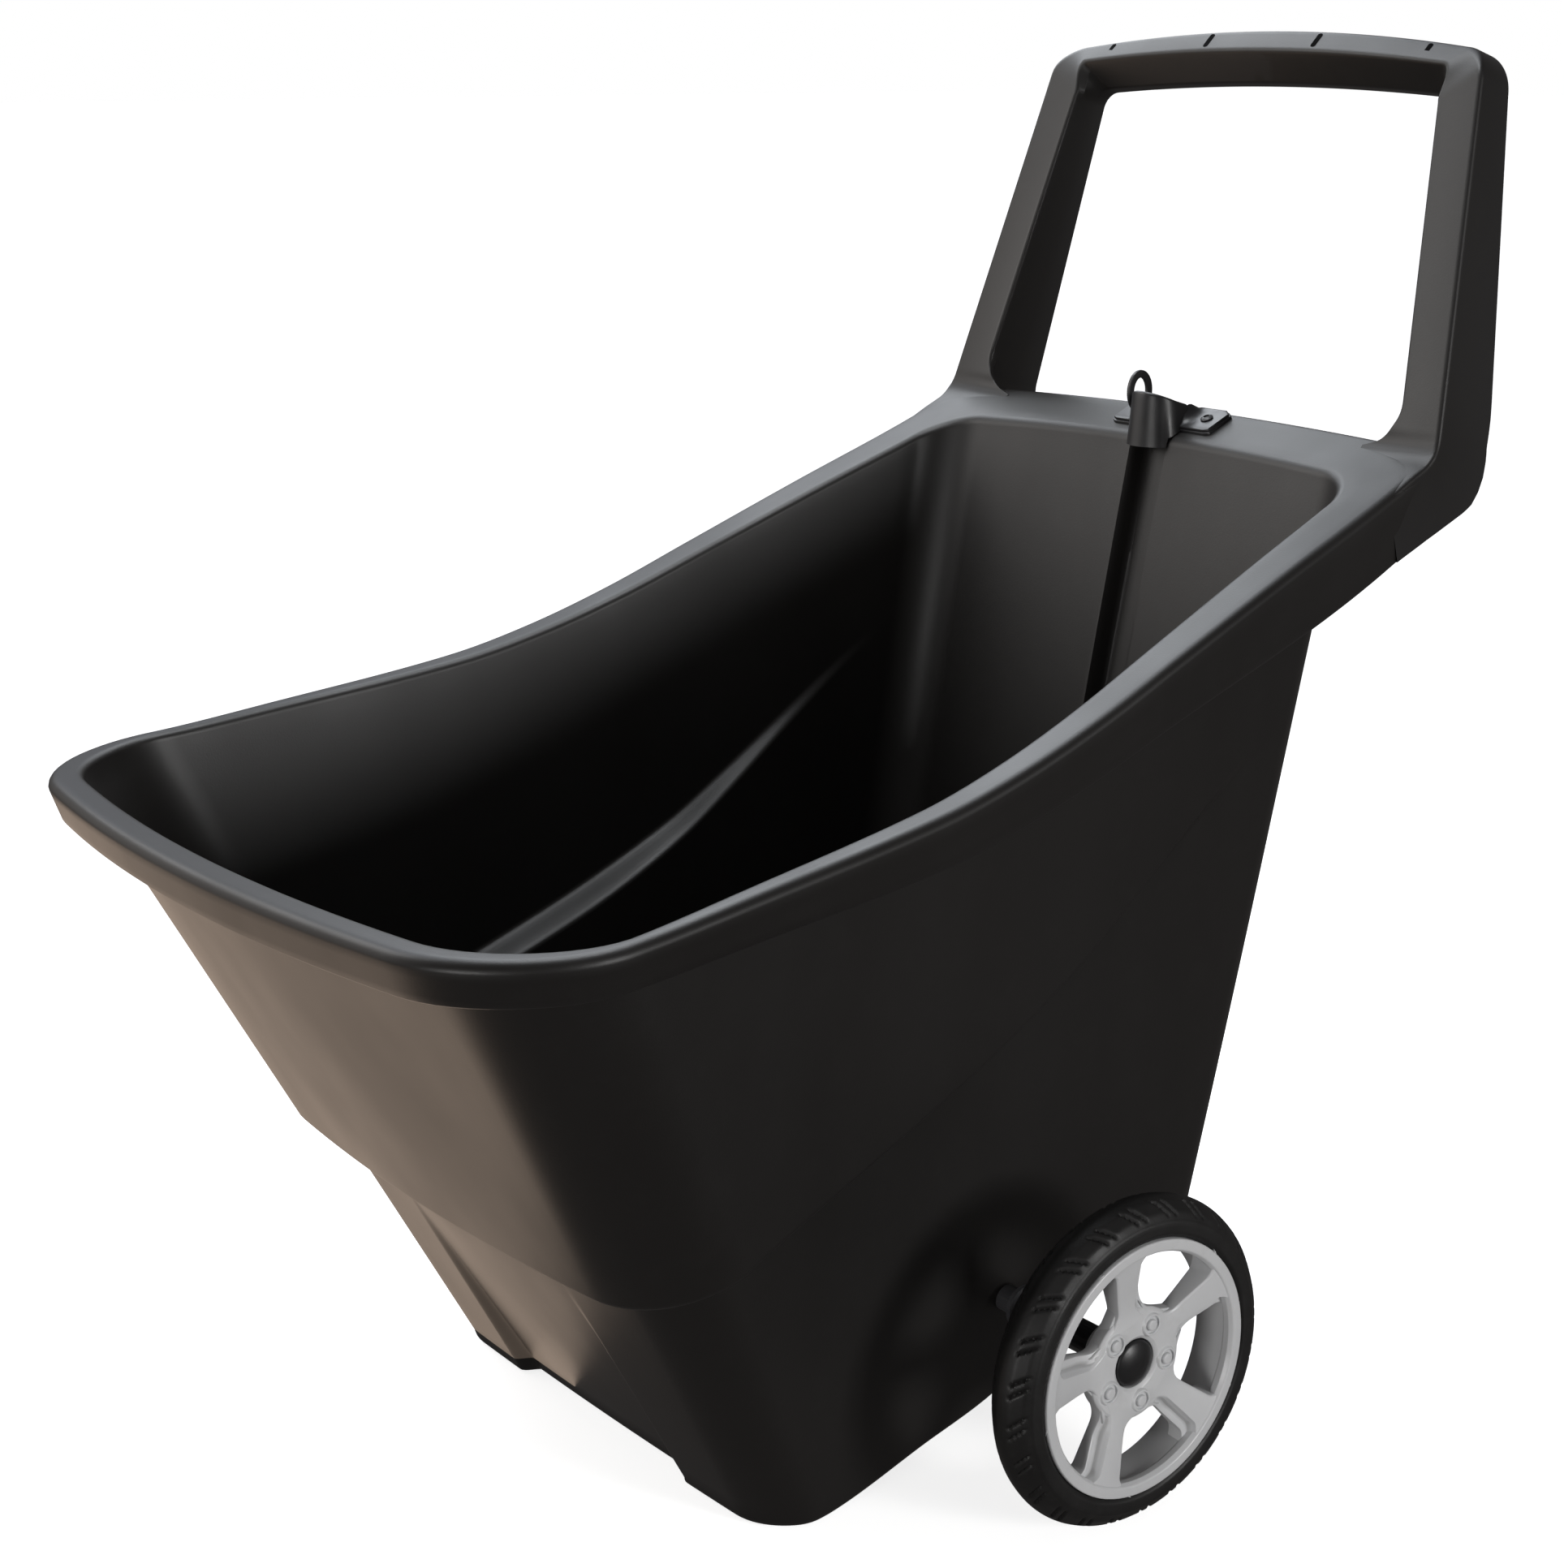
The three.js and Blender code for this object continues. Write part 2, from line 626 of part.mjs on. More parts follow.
function spokeShape() {
  const shape = new THREE.Shape();
  shape.moveTo(24, -7);
  shape.quadraticCurveTo(48, -7, 71.5, -11);
  shape.lineTo(71.5, 15);
  shape.quadraticCurveTo(48, 8, 24, 7);
  shape.closePath();
  return shape;
}

// Wheel centre: barrel and lip, dished hub, five spokes and five moulded lugs, all one piece.
function wheelRimGeometry() {
  const barrel = turned([
    [TYRE_INNER + 1, 70.5], [TYRE_INNER + 1, RIM_SEAT], [TYRE_OUTER + 0.5, RIM_SEAT],
    [TYRE_OUTER + 0.5, 69.5], [TYRE_OUTER - 3, 67.5], [TYRE_OUTER - 6, 69.5],
    [TYRE_INNER + 1, 70.5],
  ], 48);
  const hub = turned([
    [HUB_INNER, 8 + GAP], [HUB_INNER, 15], [HUB_SEAT - 1, 16],
    [HUB_SEAT - 1, 33], [HUB_FACE - 2, 33], [HUB_FACE, 29],
    [HUB_FACE, 14.1], [HUB_SEAT, 14.1], [HUB_SEAT, 8 + GAP],
    [HUB_INNER, 8 + GAP],
  ], 32);
  let wheel = solid(barrel).add(solid(hub));
  for (let i = 0; i < SPOKES; i += 1) {
    const turn = (2 * Math.PI * i) / SPOKES;
    const settings = { depth: SPOKE_DEPTH, bevelEnabled: false, curveSegments: 3 };
    const spoke = new THREE.ExtrudeGeometry(spokeShape(), settings);
    spoke.applyMatrix4(new THREE.Matrix4().makeBasis(
      new THREE.Vector3(0, 1, 0), new THREE.Vector3(0, 0, 1), new THREE.Vector3(1, 0, 0)));
    spoke.translate(HUB_FACE - 9.5, 0, 0);
    spoke.rotateX(SPOKE_START + turn);
    wheel = wheel.add(solid(spoke));
    const lug = sleeve(HUB_FACE - 3, HUB_FACE + 1.5, 5, 0, 12);
    lug.translate(0, LUG_CIRCLE, 0);
    lug.rotateX(LUG_START + turn);
    wheel = wheel.add(solid(lug));
  }
  return geometryOf(wheel);
}

// Cup-shaped cap: its skirt snaps into the hub round the push nut.
function hubCapGeometry() {
  const face = HUB_FACE + 2.5;
  const skirt = HUB_SEAT + 2;
  return turned([
    [face, 0], [face - 0.6, 6], [face - 2, 11], [face - 4, 13.8],
    [skirt, 13.8], [skirt, 11.6], [face - 4.6, 11.6], [face - 4.6, 0],
  ], 24);
}

// Dished push-on nut: a disc with a short collar that grips the end of the rod.
function pushNutGeometry() {
  const from = HUB_SEAT + WASHER + 2 * GAP;
  const bore = ROD_RADIUS + 0.05;
  return turned([
    [from, bore], [from, 10], [from + 1.2, 10], [from + 2, 7],
    [from + 3.8, 6.6], [from + 3.8, bore], [from, bore],
  ], 24);
}

function bushGeometry() {
  return turned([
    [TUNNEL_END + 1, ROD_RADIUS + GAP], [TUNNEL_END + 1, 8], [BOSS_FACE + GAP, 8], [BOSS_FACE + GAP, 13],
    [BOSS_FACE + GAP + BUSH_FLANGE, 13], [BOSS_FACE + GAP + BUSH_FLANGE, ROD_RADIUS + GAP],
    [TUNNEL_END + 1, ROD_RADIUS + GAP],
  ], 24);
}

// ---------------------------------------------------------------- tool clip

const HOOD = {
  radius: 19, front: -29, height: 35, raise: 4.2, wall: 2.6, roofBack: 8, hangFrom: -20, roofSlope: 0.3,
};
const RING = { x: -22.5, y: -4, z: 9, bossRadius: 2, wire: 1.3, halfWidth: 9.5, height: 25 };

// The hood's block: a half-round front and straight sides, standing on the plate and over the rim.
function hoodBlock(inset) {
  const shape = new THREE.Shape();
  const r = HOOD.radius - inset;
  const centre = HOOD.front + HOOD.radius;
  const back = HOOD.roofBack + (inset > 0 ? 0.1 : 0);
  shape.moveTo(r, back);
  shape.lineTo(-r, back);
  shape.lineTo(-r, centre);
  shape.absarc(0, centre, r, Math.PI, 2 * Math.PI, false);
  shape.closePath();
  const overrun = inset > 0 ? 10 : 0;
  const depth = HOOD.height - inset + overrun;
  const geometry = new THREE.ExtrudeGeometry(shape, { depth, bevelEnabled: false, curveSegments: 8 });
  geometry.translate(0, 0, HOOD.raise - HOOD.height / 2 - overrun);
  const roofAt = (y) => HOOD.raise + HOOD.height / 2 - inset - HOOD.roofSlope * (y - HOOD.front);
  const above = prismAlongX([[-60, roofAt(-60)], [60, roofAt(60)], [60, 90], [-60, 90]], -60, 60);
  return geometryOf(solid(geometry).subtract(solid(above)));
}

// Flat plate across the rim with a half-round hood over the groove, and a headed boss for the pull ring.
function toolClipGeometry() {
  const plate = new THREE.Shape();
  plate.moveTo(-CLIP.halfWidth, CLIP.front);
  plate.lineTo(CLIP.halfWidth, CLIP.front);
  plate.lineTo(CLIP.halfWidth, CLIP.back - CLIP.corner);
  plate.lineTo(CLIP.halfWidth - CLIP.corner, CLIP.back);
  plate.lineTo(-CLIP.halfWidth + CLIP.corner, CLIP.back);
  plate.lineTo(-CLIP.halfWidth, CLIP.back - CLIP.corner);
  plate.closePath();
  const base = new THREE.ExtrudeGeometry(plate, { depth: CLIP.thickness, bevelEnabled: false });
  const slope = Math.tan(CLIP.tilt);
  const underRim = prismAlongX(
    [[HOOD.hangFrom, -60], [60, -60], [60, 60 * slope], [HOOD.hangFrom, HOOD.hangFrom * slope]], -60, 60);
  const boss = turned([
    [RING.x - 3.6, 0], [RING.x - 3.6, 4], [RING.x - 2, 4], [RING.x - 2, RING.bossRadius],
    [-HOOD.radius + 1, RING.bossRadius], [-HOOD.radius + 1, 0],
  ], 20);
  boss.translate(0, RING.y, RING.z);
  let clip = solid(uprightOnRim(hoodBlock(0))).subtract(solid(uprightOnRim(underRim)));
  clip = clip.add(solid(onRim(base)));
  clip = clip.subtract(solid(uprightOnRim(hoodBlock(HOOD.wall))));
  clip = clip.add(solid(uprightOnRim(boss)));
  for (const side of [-1, 1]) {
    const hole = alongZ(sleeve(-5, 10, CLIP.screwRadius + GAP, 0, 12));
    hole.translate(side * CLIP.screwX, CLIP.screwY, 0);
    clip = clip.subtract(solid(onRim(hole)));
  }
  return geometryOf(clip);
}

// Oval ring of round wire that hangs round the boss and swings on it.
function ringGeometry() {
  const steps = 20;
  const sides = 8;
  const bottom = -RING.bossRadius - RING.wire - GAP;
  const sections = [];
  for (let i = 0; i < steps; i += 1) {
    const angle = (2 * Math.PI * i) / steps;
    const y = RING.halfWidth * Math.sin(angle);
    const z = bottom + (RING.height / 2) * (1 - Math.cos(angle));
    const halfHeight = RING.height / 2;
    const along = new THREE.Vector2(RING.halfWidth * Math.cos(angle), halfHeight * Math.sin(angle));
    along.normalize();
    const section = [];
    for (let j = 0; j < sides; j += 1) {
      const turn = (2 * Math.PI * j) / sides;
      const out = RING.wire * Math.cos(turn);
      section.push([
        RING.x - RING.wire * Math.sin(turn), RING.y + y + out * along.y, RING.z + z - out * along.x,
      ]);
    }
    sections.push(section);
  }
  return loft(sections, true);
}

// ---------------------------------------------------------------- materials and assembly

function material(color, roughness, metalness = 0) {
  return new THREE.MeshStandardMaterial({ color, roughness, metalness });
}

const tubPlastic = () => material(0x2a2829, 0.62);
const tyreRubber = () => material(0x1b1a1b, 0.75);
const wheelPlastic = () => material(0xb9bcbf, 0.42);
const blackPlastic = () => material(0x17161a, 0.45);
const zincSteel = () => material(0x9a9c9f, 0.35, 0.9);
const darkSteel = () => material(0x3f3f41, 0.4, 0.3);
const nylon = () => material(0x3a3a3d, 0.5);

function part(name, geometry, finish) {
  const mesh = new THREE.Mesh(geometry, finish);
  mesh.name = name;
  return mesh;
}

const layout = new THREE.Group();
layout.add(part("tub_body", tubBody(), tubPlastic()));

const rod = part("axle_rod", sleeve(-ROD_END, ROD_END, ROD_RADIUS, 0, 32), zincSteel());
rod.position.z = AXLE_HEIGHT;
layout.add(rod);

// Both ends of the axle carry the same pieces; the left set is the right set turned half a turn about Z.
for (const [side, turn] of [["right", 0], ["left", Math.PI]]) {
  const end = new THREE.Group();
  end.position.z = AXLE_HEIGHT;
  end.rotation.z = turn;
  const spacerFrom = BOSS_FACE + BUSH_FLANGE + 2 * GAP;
  const washerFrom = HUB_INNER - GAP - WASHER;
  end.add(part(`axle_bush_${side}`, bushGeometry(), nylon()));
  const spacer = sleeve(spacerFrom, washerFrom - GAP, SPACER_RADIUS, ROD_RADIUS + GAP);
  end.add(part(`axle_spacer_${side}`, spacer, blackPlastic()));
  const innerWasher = sleeve(washerFrom, washerFrom + WASHER, INNER_WASHER_RADIUS, ROD_RADIUS + GAP);
  end.add(part(`inner_washer_${side}`, innerWasher, zincSteel()));
  end.add(part(`hub_bush_${side}`, sleeve(HUB_INNER, HUB_SEAT, 8, ROD_BORE_RADIUS, 32), nylon()));
  end.add(part(`wheel_rim_${side}`, wheelRimGeometry(), wheelPlastic()));
  end.add(part(`tyre_${side}`, tyreGeometry(), tyreRubber()));
  const outerFrom = HUB_SEAT + GAP;
  const outerWasher = sleeve(outerFrom, outerFrom + WASHER, OUTER_WASHER_RADIUS, ROD_RADIUS + GAP);
  end.add(part(`outer_washer_${side}`, outerWasher, zincSteel()));
  end.add(part(`push_nut_${side}`, pushNutGeometry(), zincSteel()));
  end.add(part(`hub_cap_${side}`, hubCapGeometry(), blackPlastic()));
  layout.add(end);
}

layout.add(part("tool_clip", toolClipGeometry(), blackPlastic()));
layout.add(part("clip_ring", uprightOnRim(ringGeometry()), darkSteel()));
for (const [name, x] of [["clip_screw_right", CLIP.screwX], ["clip_screw_left", -CLIP.screwX]]) {
  const underHead = CLIP.thickness + GAP;
  const screwProfile = [
    [-14, 0], [-12, CLIP.screwRadius], [underHead, CLIP.screwRadius],
    [underHead, 4.2], [4.6, 3.6], [5.4, 2], [5.4, 0],
  ];
  const screw = alongZ(turned(screwProfile, 12));
  screw.translate(x, CLIP.screwY, 0);
  layout.add(part(name, onRim(screw), darkSteel()));
}

const cart = new THREE.Group();
cart.add(layout);
const box = new THREE.Box3().setFromObject(layout, true);
layout.position.set(-(box.min.x + box.max.x) / 2, -(box.min.y + box.max.y) / 2, -FOOT_LEVEL);

export default cart;
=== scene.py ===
"""Looks of the garden cart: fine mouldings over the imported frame, materials, studio light and camera."""

import json
import math

import bmesh
import bpy
import numpy as np
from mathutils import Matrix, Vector

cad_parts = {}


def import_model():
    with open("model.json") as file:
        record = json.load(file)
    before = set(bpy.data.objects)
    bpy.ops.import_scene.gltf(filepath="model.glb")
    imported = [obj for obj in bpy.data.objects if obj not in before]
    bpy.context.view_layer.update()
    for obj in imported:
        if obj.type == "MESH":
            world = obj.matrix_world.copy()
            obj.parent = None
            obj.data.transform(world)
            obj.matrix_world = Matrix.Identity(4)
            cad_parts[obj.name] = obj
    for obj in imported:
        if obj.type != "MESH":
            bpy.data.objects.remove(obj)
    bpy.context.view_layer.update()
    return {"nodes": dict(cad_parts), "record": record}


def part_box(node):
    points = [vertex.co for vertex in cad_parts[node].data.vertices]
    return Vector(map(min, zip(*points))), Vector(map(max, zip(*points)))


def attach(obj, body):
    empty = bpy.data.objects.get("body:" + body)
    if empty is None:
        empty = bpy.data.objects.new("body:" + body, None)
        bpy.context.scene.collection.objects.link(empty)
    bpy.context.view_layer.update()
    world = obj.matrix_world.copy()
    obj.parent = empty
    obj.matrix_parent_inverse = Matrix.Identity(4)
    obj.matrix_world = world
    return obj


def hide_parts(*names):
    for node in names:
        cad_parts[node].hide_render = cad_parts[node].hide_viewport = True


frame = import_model()

# ---- dimensions, in millimetres from the axle's middle

WALL = 3.0
FLOOR = 8.0
FRONT_FLOOR = 20.0
BELLY_RISE = 3.0
BELLY_HALF_WIDTH = 73.0
TYRE_RADIUS = 97.0
AXLE_HEIGHT = TYRE_RADIUS

# Plans of the rim's outer and inner edges and of the wall at the ground.
RIM_OUTER = dict(
    x_front=258.5, x_rear=216, y_front=-399, y_rear=293, r_front=74, r_rear=24, bow_front=30, bow_rear=10)
RIM_INNER = dict(
    x_front=246, x_rear=184, y_front=-383, y_rear=254, r_front=63, r_rear=32, bow_front=28, bow_rear=11)
FOOT = dict(
    x_front=186, x_rear=170, y_front=-189, y_rear=168, r_front=52, r_rear=34, bow_front=4, bow_rear=4)

LEDGE_DEPTH = 19.0
LEDGE_BAND = 10.0
RIM_THICKNESS = 3.2
SKIRT_TAPER = 6.0
OUTER_ROUND = 6.0
INNER_ROUND = 5.0
BOTTOM_ROUND = 6.0

RECESS_INNER, RECESS_OUTER, RECESS_TOP, RECESS_DEPTH = 82.0, 89.0, 142.0, 11.0
GROOVE_INNER, GROOVE_OUTER, GROOVE_DEPTH = 10.0, 16.0, 13.0

TUNNEL_FRONT, TUNNEL_REAR, TUNNEL_HALF_TOP, TUNNEL_TOP = -44.0, 36.0, 20.0, AXLE_HEIGHT + 8
TUNNEL_END = 162.0
TUNNEL_RIBS = (-110.0, -38.0, 38.0, 110.0)

LEAN = math.radians(15.5)
LEG_FOOT_Y = 283.0
LEG_HALF_WIDTH_FOOT, LEG_HALF_WIDTH_TOP = 216.4, 180.0
HANDLE_HEIGHT, HANDLE_ARCH = 250.0, 8.0
LEG_FACE, BAR_FACE = 31.0, 28.5
LEG_DEPTH_FOOT, LEG_DEPTH_TOP = 53.0, 26.0

low_rod, high_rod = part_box("axle_rod")
AXLE_Y = (low_rod.y + high_rod.y) / 2 * 1000


def smooth_through(points):
    """Cubic curve through points [u, v], the same as the CAD's side-view profiles."""
    us = np.array([p[0] for p in points], float)
    vs = np.array([p[1] for p in points], float)
    before = np.maximum(np.arange(len(us)) - 1, 0)
    after = np.minimum(np.arange(len(us)) + 1, len(us) - 1)
    slopes = (vs[after] - vs[before]) / (us[after] - us[before])

    def read(u):
        u = np.asarray(u, float)
        i = np.clip(np.searchsorted(us, u, side="right") - 1, 0, len(us) - 2)
        span = us[i + 1] - us[i]
        t = (u - us[i]) / span
        inside = (
            (2 * t**3 - 3 * t**2 + 1) * vs[i]
            + (t**3 - 2 * t**2 + t) * span * slopes[i]
            + (3 * t**2 - 2 * t**3) * vs[i + 1]
            + (t**3 - t**2) * span * slopes[i + 1]
        )
        low = vs[0] + slopes[0] * (u - us[0])
        high = vs[-1] + slopes[-1] * (u - us[-1])
        return np.where(u <= us[0], low, np.where(u >= us[-1], high, inside))

    return read


# Side-view lines: heights of the rim, underside and ledge, and the skirt's depth, all against y.
RIM_HEIGHT = smooth_through([
    (-440, 401), (-330, 403), (-240, 412), (-120, 426.5), (-60, 440),
    (0, 459), (60, 482), (150, 516.5), (240, 550), (310, 580),
])
UNDERSIDE = smooth_through([
    (-230, 0), (-170, 0), (-126, 0), (-60, 15), (-7, 29), (32, 49), (70, 70), (127, 95), (190, 122),
])
LEDGE_HEIGHT = smooth_through([
    (-300, 170), (-262, 180), (-205, 206), (-136, 233), (-50, 268),
    (18, 302), (58, 328), (160, 400), (240, 450),
])
SKIRT_DEPTH = smooth_through([(-430, 25), (-320, 25), (-130, 31), (50, 40), (180, 49), (300, 49)])


def ramp(value, low, high):
    t = np.clip((np.asarray(value, float) - low) / (high - low), 0, 1)
    return t * t * (3 - 2 * t)


def mix(a, b, t):
    return a + (b - a) * t


# ---- mesh helpers


def make_object(name, points, faces, body, material, slot, smooth_angle=40):
    """A mesh from points in millimetres about the axle, riding on a body."""
    points = np.asarray(points, float).copy()
    points[:, 1] += AXLE_Y
    mesh = bpy.data.meshes.new(name)
    mesh.from_pydata((points / 1000).tolist(), [], [list(map(int, f)) for f in faces])
    mesh.validate()
    made = bpy.data.objects.new(name, mesh)
    bpy.context.scene.collection.objects.link(made)
    clean(mesh)
    mesh.materials.append(material)
    mesh.polygons.foreach_set("use_smooth", [True] * len(mesh.polygons))
    mesh.set_sharp_from_angle(angle=math.radians(smooth_angle))
    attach(made, body)
    return made


def clean(mesh):
    work = bmesh.new()
    work.from_mesh(mesh)
    bmesh.ops.remove_doubles(work, verts=work.verts, dist=1e-6)
    bmesh.ops.dissolve_degenerate(work, edges=work.edges, dist=1e-6)
    bmesh.ops.recalc_face_normals(work, faces=work.faces)
    work.to_mesh(mesh)
    work.free()


def grid_faces(rows, columns, close_rows=False, close_columns=False, start=0):
    """Faces of a rows x columns lattice of points."""
    r = np.arange(rows if close_rows else rows - 1)
    c = np.arange(columns if close_columns else columns - 1)
    rr, cc = np.meshgrid(r, c, indexing="ij")
    r2, c2 = (rr + 1) % rows, (cc + 1) % columns
    quads = np.stack([rr * columns + cc, rr * columns + c2, r2 * columns + c2, r2 * columns + cc], -1)
    return quads.reshape(-1, 4) + start


def capped(rings):
    """A tube through closed rings, with a face over each end."""
    points = np.array(rings)
    count = points.shape[1]
    faces = [list(f) for f in grid_faces(len(rings), count, False, True)]
    faces.append(list(range(count)))
    faces.append([(len(rings) - 1) * count + i for i in range(count)][::-1])
    return points.reshape(-1, 3), faces


def join(parts):
    """Several (points, faces) pairs as one."""
    points, faces, start = [], [], 0
    for p, f in parts:
        p = np.asarray(p, float).reshape(-1, 3)
        points.append(p)
        faces.extend([[int(i) + start for i in face] for face in f])
        start += len(p)
    return np.concatenate(points), faces


def lathe(profile, segments=96, closed=True):
    """A profile of [along X, radius] points turned about X through the origin."""
    profile = np.asarray(profile, float)
    angle = np.linspace(0, 2 * math.pi, segments, endpoint=False)
    x = np.repeat(profile[:, 0][:, None], segments, 1)
    y = profile[:, 1][:, None] * np.cos(angle)
    z = profile[:, 1][:, None] * np.sin(angle)
    return np.stack([x, y, z], -1).reshape(-1, 3), grid_faces(len(profile), segments, closed, True)


def rounded(corners, radii, steps=5):
    """A closed 2-D outline with its corners rounded by arcs."""
    corners = [np.array(c, float) for c in corners]
    out = []
    for i, corner in enumerate(corners):
        radius = radii[i] if isinstance(radii, (list, tuple)) else radii
        if radius <= 0:
            out.append(corner)
            continue
        a = corners[i - 1] - corner
        b = corners[(i + 1) % len(corners)] - corner
        a_unit, b_unit = a / np.linalg.norm(a), b / np.linalg.norm(b)
        cosine = np.clip(a_unit @ b_unit, -0.9999, 0.9999)
        longest = min(np.linalg.norm(a), np.linalg.norm(b)) * 0.49
        reach = min(radius / math.tan(math.acos(cosine) / 2), longest)
        p, q = corner + a_unit * reach, corner + b_unit * reach
        for t in np.linspace(0, 1, steps + 1):
            out.append((1 - t) ** 2 * p + 2 * t * (1 - t) * corner + t**2 * q)
    return np.array(out)


# ---- outlines of the tub in plan

FRONT_STEPS = np.unique(np.concatenate([np.linspace(0, 1, 15)[:-1], np.linspace(0.52, 0.70, 27)]))
REAR_STEPS = np.unique(np.concatenate([np.linspace(0, 1, 13)[:-1], np.linspace(0.05, 0.13, 11)]))
CORNER_STEPS = 14
SIDE_STEPS = 56


def half_outline(spec):
    """From the middle of the front, round the +X side, to the middle of the rear."""
    r_front, r_rear = spec["r_front"], spec["r_rear"]
    front_straight = spec["x_front"] - r_front
    rear_straight = spec["x_rear"] - r_rear
    y_from = spec["y_front"] + r_front
    y_to = spec["y_rear"] - r_rear
    points = [(step * front_straight, spec["y_front"]) for step in FRONT_STEPS]
    for angle in np.linspace(-math.pi / 2, 0, CORNER_STEPS + 1):
        points.append((front_straight + r_front * math.cos(angle), y_from + r_front * math.sin(angle)))
    for t in np.linspace(0, 1, SIDE_STEPS + 1)[1:-1]:
        points.append((mix(spec["x_front"], spec["x_rear"], t), mix(y_from, y_to, t)))
    for angle in np.linspace(0, math.pi / 2, CORNER_STEPS + 1):
        points.append((rear_straight + r_rear * math.cos(angle), y_to + r_rear * math.sin(angle)))
    points += [(step * rear_straight, spec["y_rear"]) for step in REAR_STEPS[::-1]]
    points = np.array(points, float)
    x, y = points[:, 0], points[:, 1]
    middle = (spec["y_front"] + spec["y_rear"]) / 2
    front_bulge = spec["bow_front"] * (1 - (x / spec["x_front"]) ** 2) * ramp(-y, -y_from, -spec["y_front"])
    rear_bulge = spec["bow_rear"] * (1 - (x / spec["x_rear"]) ** 2) * ramp(y, y_to, spec["y_rear"])
    return np.stack([x, np.where(y < middle, y - front_bulge, y + rear_bulge)], -1)


def outline(spec):
    """The whole closed plan, from the middle of the front."""
    half = half_outline(spec)
    return np.concatenate([half, half[1:-1][::-1] * [-1, 1]])


def shrunk(spec, by):
    """The plan pulled inwards on every side."""
    return dict(
        spec,
        x_front=spec["x_front"] - by, x_rear=spec["x_rear"] - by,
        y_front=spec["y_front"] + by, y_rear=spec["y_rear"] - by,
        r_front=max(spec["r_front"] - by, 2), r_rear=max(spec["r_rear"] - by, 2),
    )


WALL_TOP = outline(RIM_INNER)
WALL_FOOT = outline(FOOT)
INWARD = outline(shrunk(FOOT, 10)) - WALL_FOOT
INWARD /= np.linalg.norm(INWARD, axis=1)[:, None]
COLUMNS = len(WALL_TOP)
TOP_HEIGHT = RIM_HEIGHT(WALL_TOP[:, 1])
FOOT_HEIGHT = UNDERSIDE(WALL_FOOT[:, 1])


def wall(z, inset, outwards):
    """One ring of the tub wall: heights z per column, inset 0 above the ledge and 1 below it."""
    z = np.broadcast_to(np.asarray(z, float), (COLUMNS,))
    t = (TOP_HEIGHT - z) / (TOP_HEIGHT - FOOT_HEIGHT)
    x = mix(WALL_TOP[:, 0], WALL_FOOT[:, 0], t)
    y = mix(WALL_TOP[:, 1], WALL_FOOT[:, 1], t)
    shift = inset * LEDGE_DEPTH * (1 - ramp(y, -60, 200)) + WALL * t - outwards
    x = x + INWARD[:, 0] * shift
    y = y + INWARD[:, 1] * shift
    recess = (1 - ramp(np.abs(x), RECESS_INNER, RECESS_OUTER)) * RECESS_DEPTH
    recess = recess * np.clip((RECESS_TOP - z) / RECESS_TOP, 0, 1)
    groove = GROOVE_DEPTH * (1 - ramp(np.abs(x), GROOVE_INNER, GROOVE_OUTER))
    y = y + np.where(INWARD[:, 1] > 0.9, recess, 0) + np.where(INWARD[:, 1] < -0.9, groove, 0)
    return np.stack([x, y, z], -1)


def meeting_height(profile, lift=0.0, inset=0.0, outwards=0.0):
    """Height at which each column of the wall meets a side-view line."""
    z = np.full(COLUMNS, 200.0)
    for _ in range(24):
        z = 0.5 * z + 0.5 * (profile(wall(z, inset, outwards)[:, 1]) + lift)
    return z


LEDGE = meeting_height(LEDGE_HEIGHT)


def floor_height(y):
    """Inner floor: flat in front, up over the axle tunnel, then following the underside."""
    knots = [(-470, FRONT_FLOOR), (-76, FRONT_FLOOR), (-50, float(UNDERSIDE(-50)) + FLOOR)]
    knots += [(-TUNNEL_HALF_TOP - 6, TUNNEL_TOP + 5), (TUNNEL_HALF_TOP + 6, TUNNEL_TOP + 5)]
    knots += [(v, float(UNDERSIDE(v)) + FLOOR) for v in (42, 70, 100, 127, 160, 330)]
    return np.interp(y, [k[0] for k in knots], [k[1] for k in knots])


def tunnel_height(y):
    """Roof of the tunnel that the axle rod runs through, seen from below."""
    knots = [(TUNNEL_FRONT, -5), (-TUNNEL_HALF_TOP, TUNNEL_TOP), (TUNNEL_HALF_TOP, TUNNEL_TOP)]
    knots += [(TUNNEL_REAR - 2, 55), (TUNNEL_REAR, 30)]
    return np.interp(y, [k[0] for k in knots], [k[1] for k in knots], left=-99, right=-99)


def wall_inset(z):
    return 1 - ramp(z, LEDGE - LEDGE_BAND, LEDGE)


def wall_rings(bottom, top, outwards):
    """Rings from the bottom heights to the top heights, closer together round the ledge."""
    low_edge = np.maximum(LEDGE - LEDGE_BAND - 3, bottom + 1)
    high_edge = np.minimum(LEDGE + 3, top - 1)
    heights = [mix(bottom, low_edge, t) for t in np.linspace(0, 1, 16)[:-1]]
    heights += [mix(low_edge, high_edge, t) for t in np.linspace(0, 1, 12)[:-1]]
    heights += [mix(high_edge, top, t) for t in np.linspace(0, 1, 18)]
    return [wall(z, wall_inset(z), outwards) for z in heights]


def rim_ring(spec, drop):
    """A plan laid on the rim's height line and lowered by the drop."""
    flat = outline(spec)
    y = flat[:, 1]
    down = drop(y) if callable(drop) else drop
    return np.stack([flat[:, 0], y, RIM_HEIGHT(y) - down], -1)


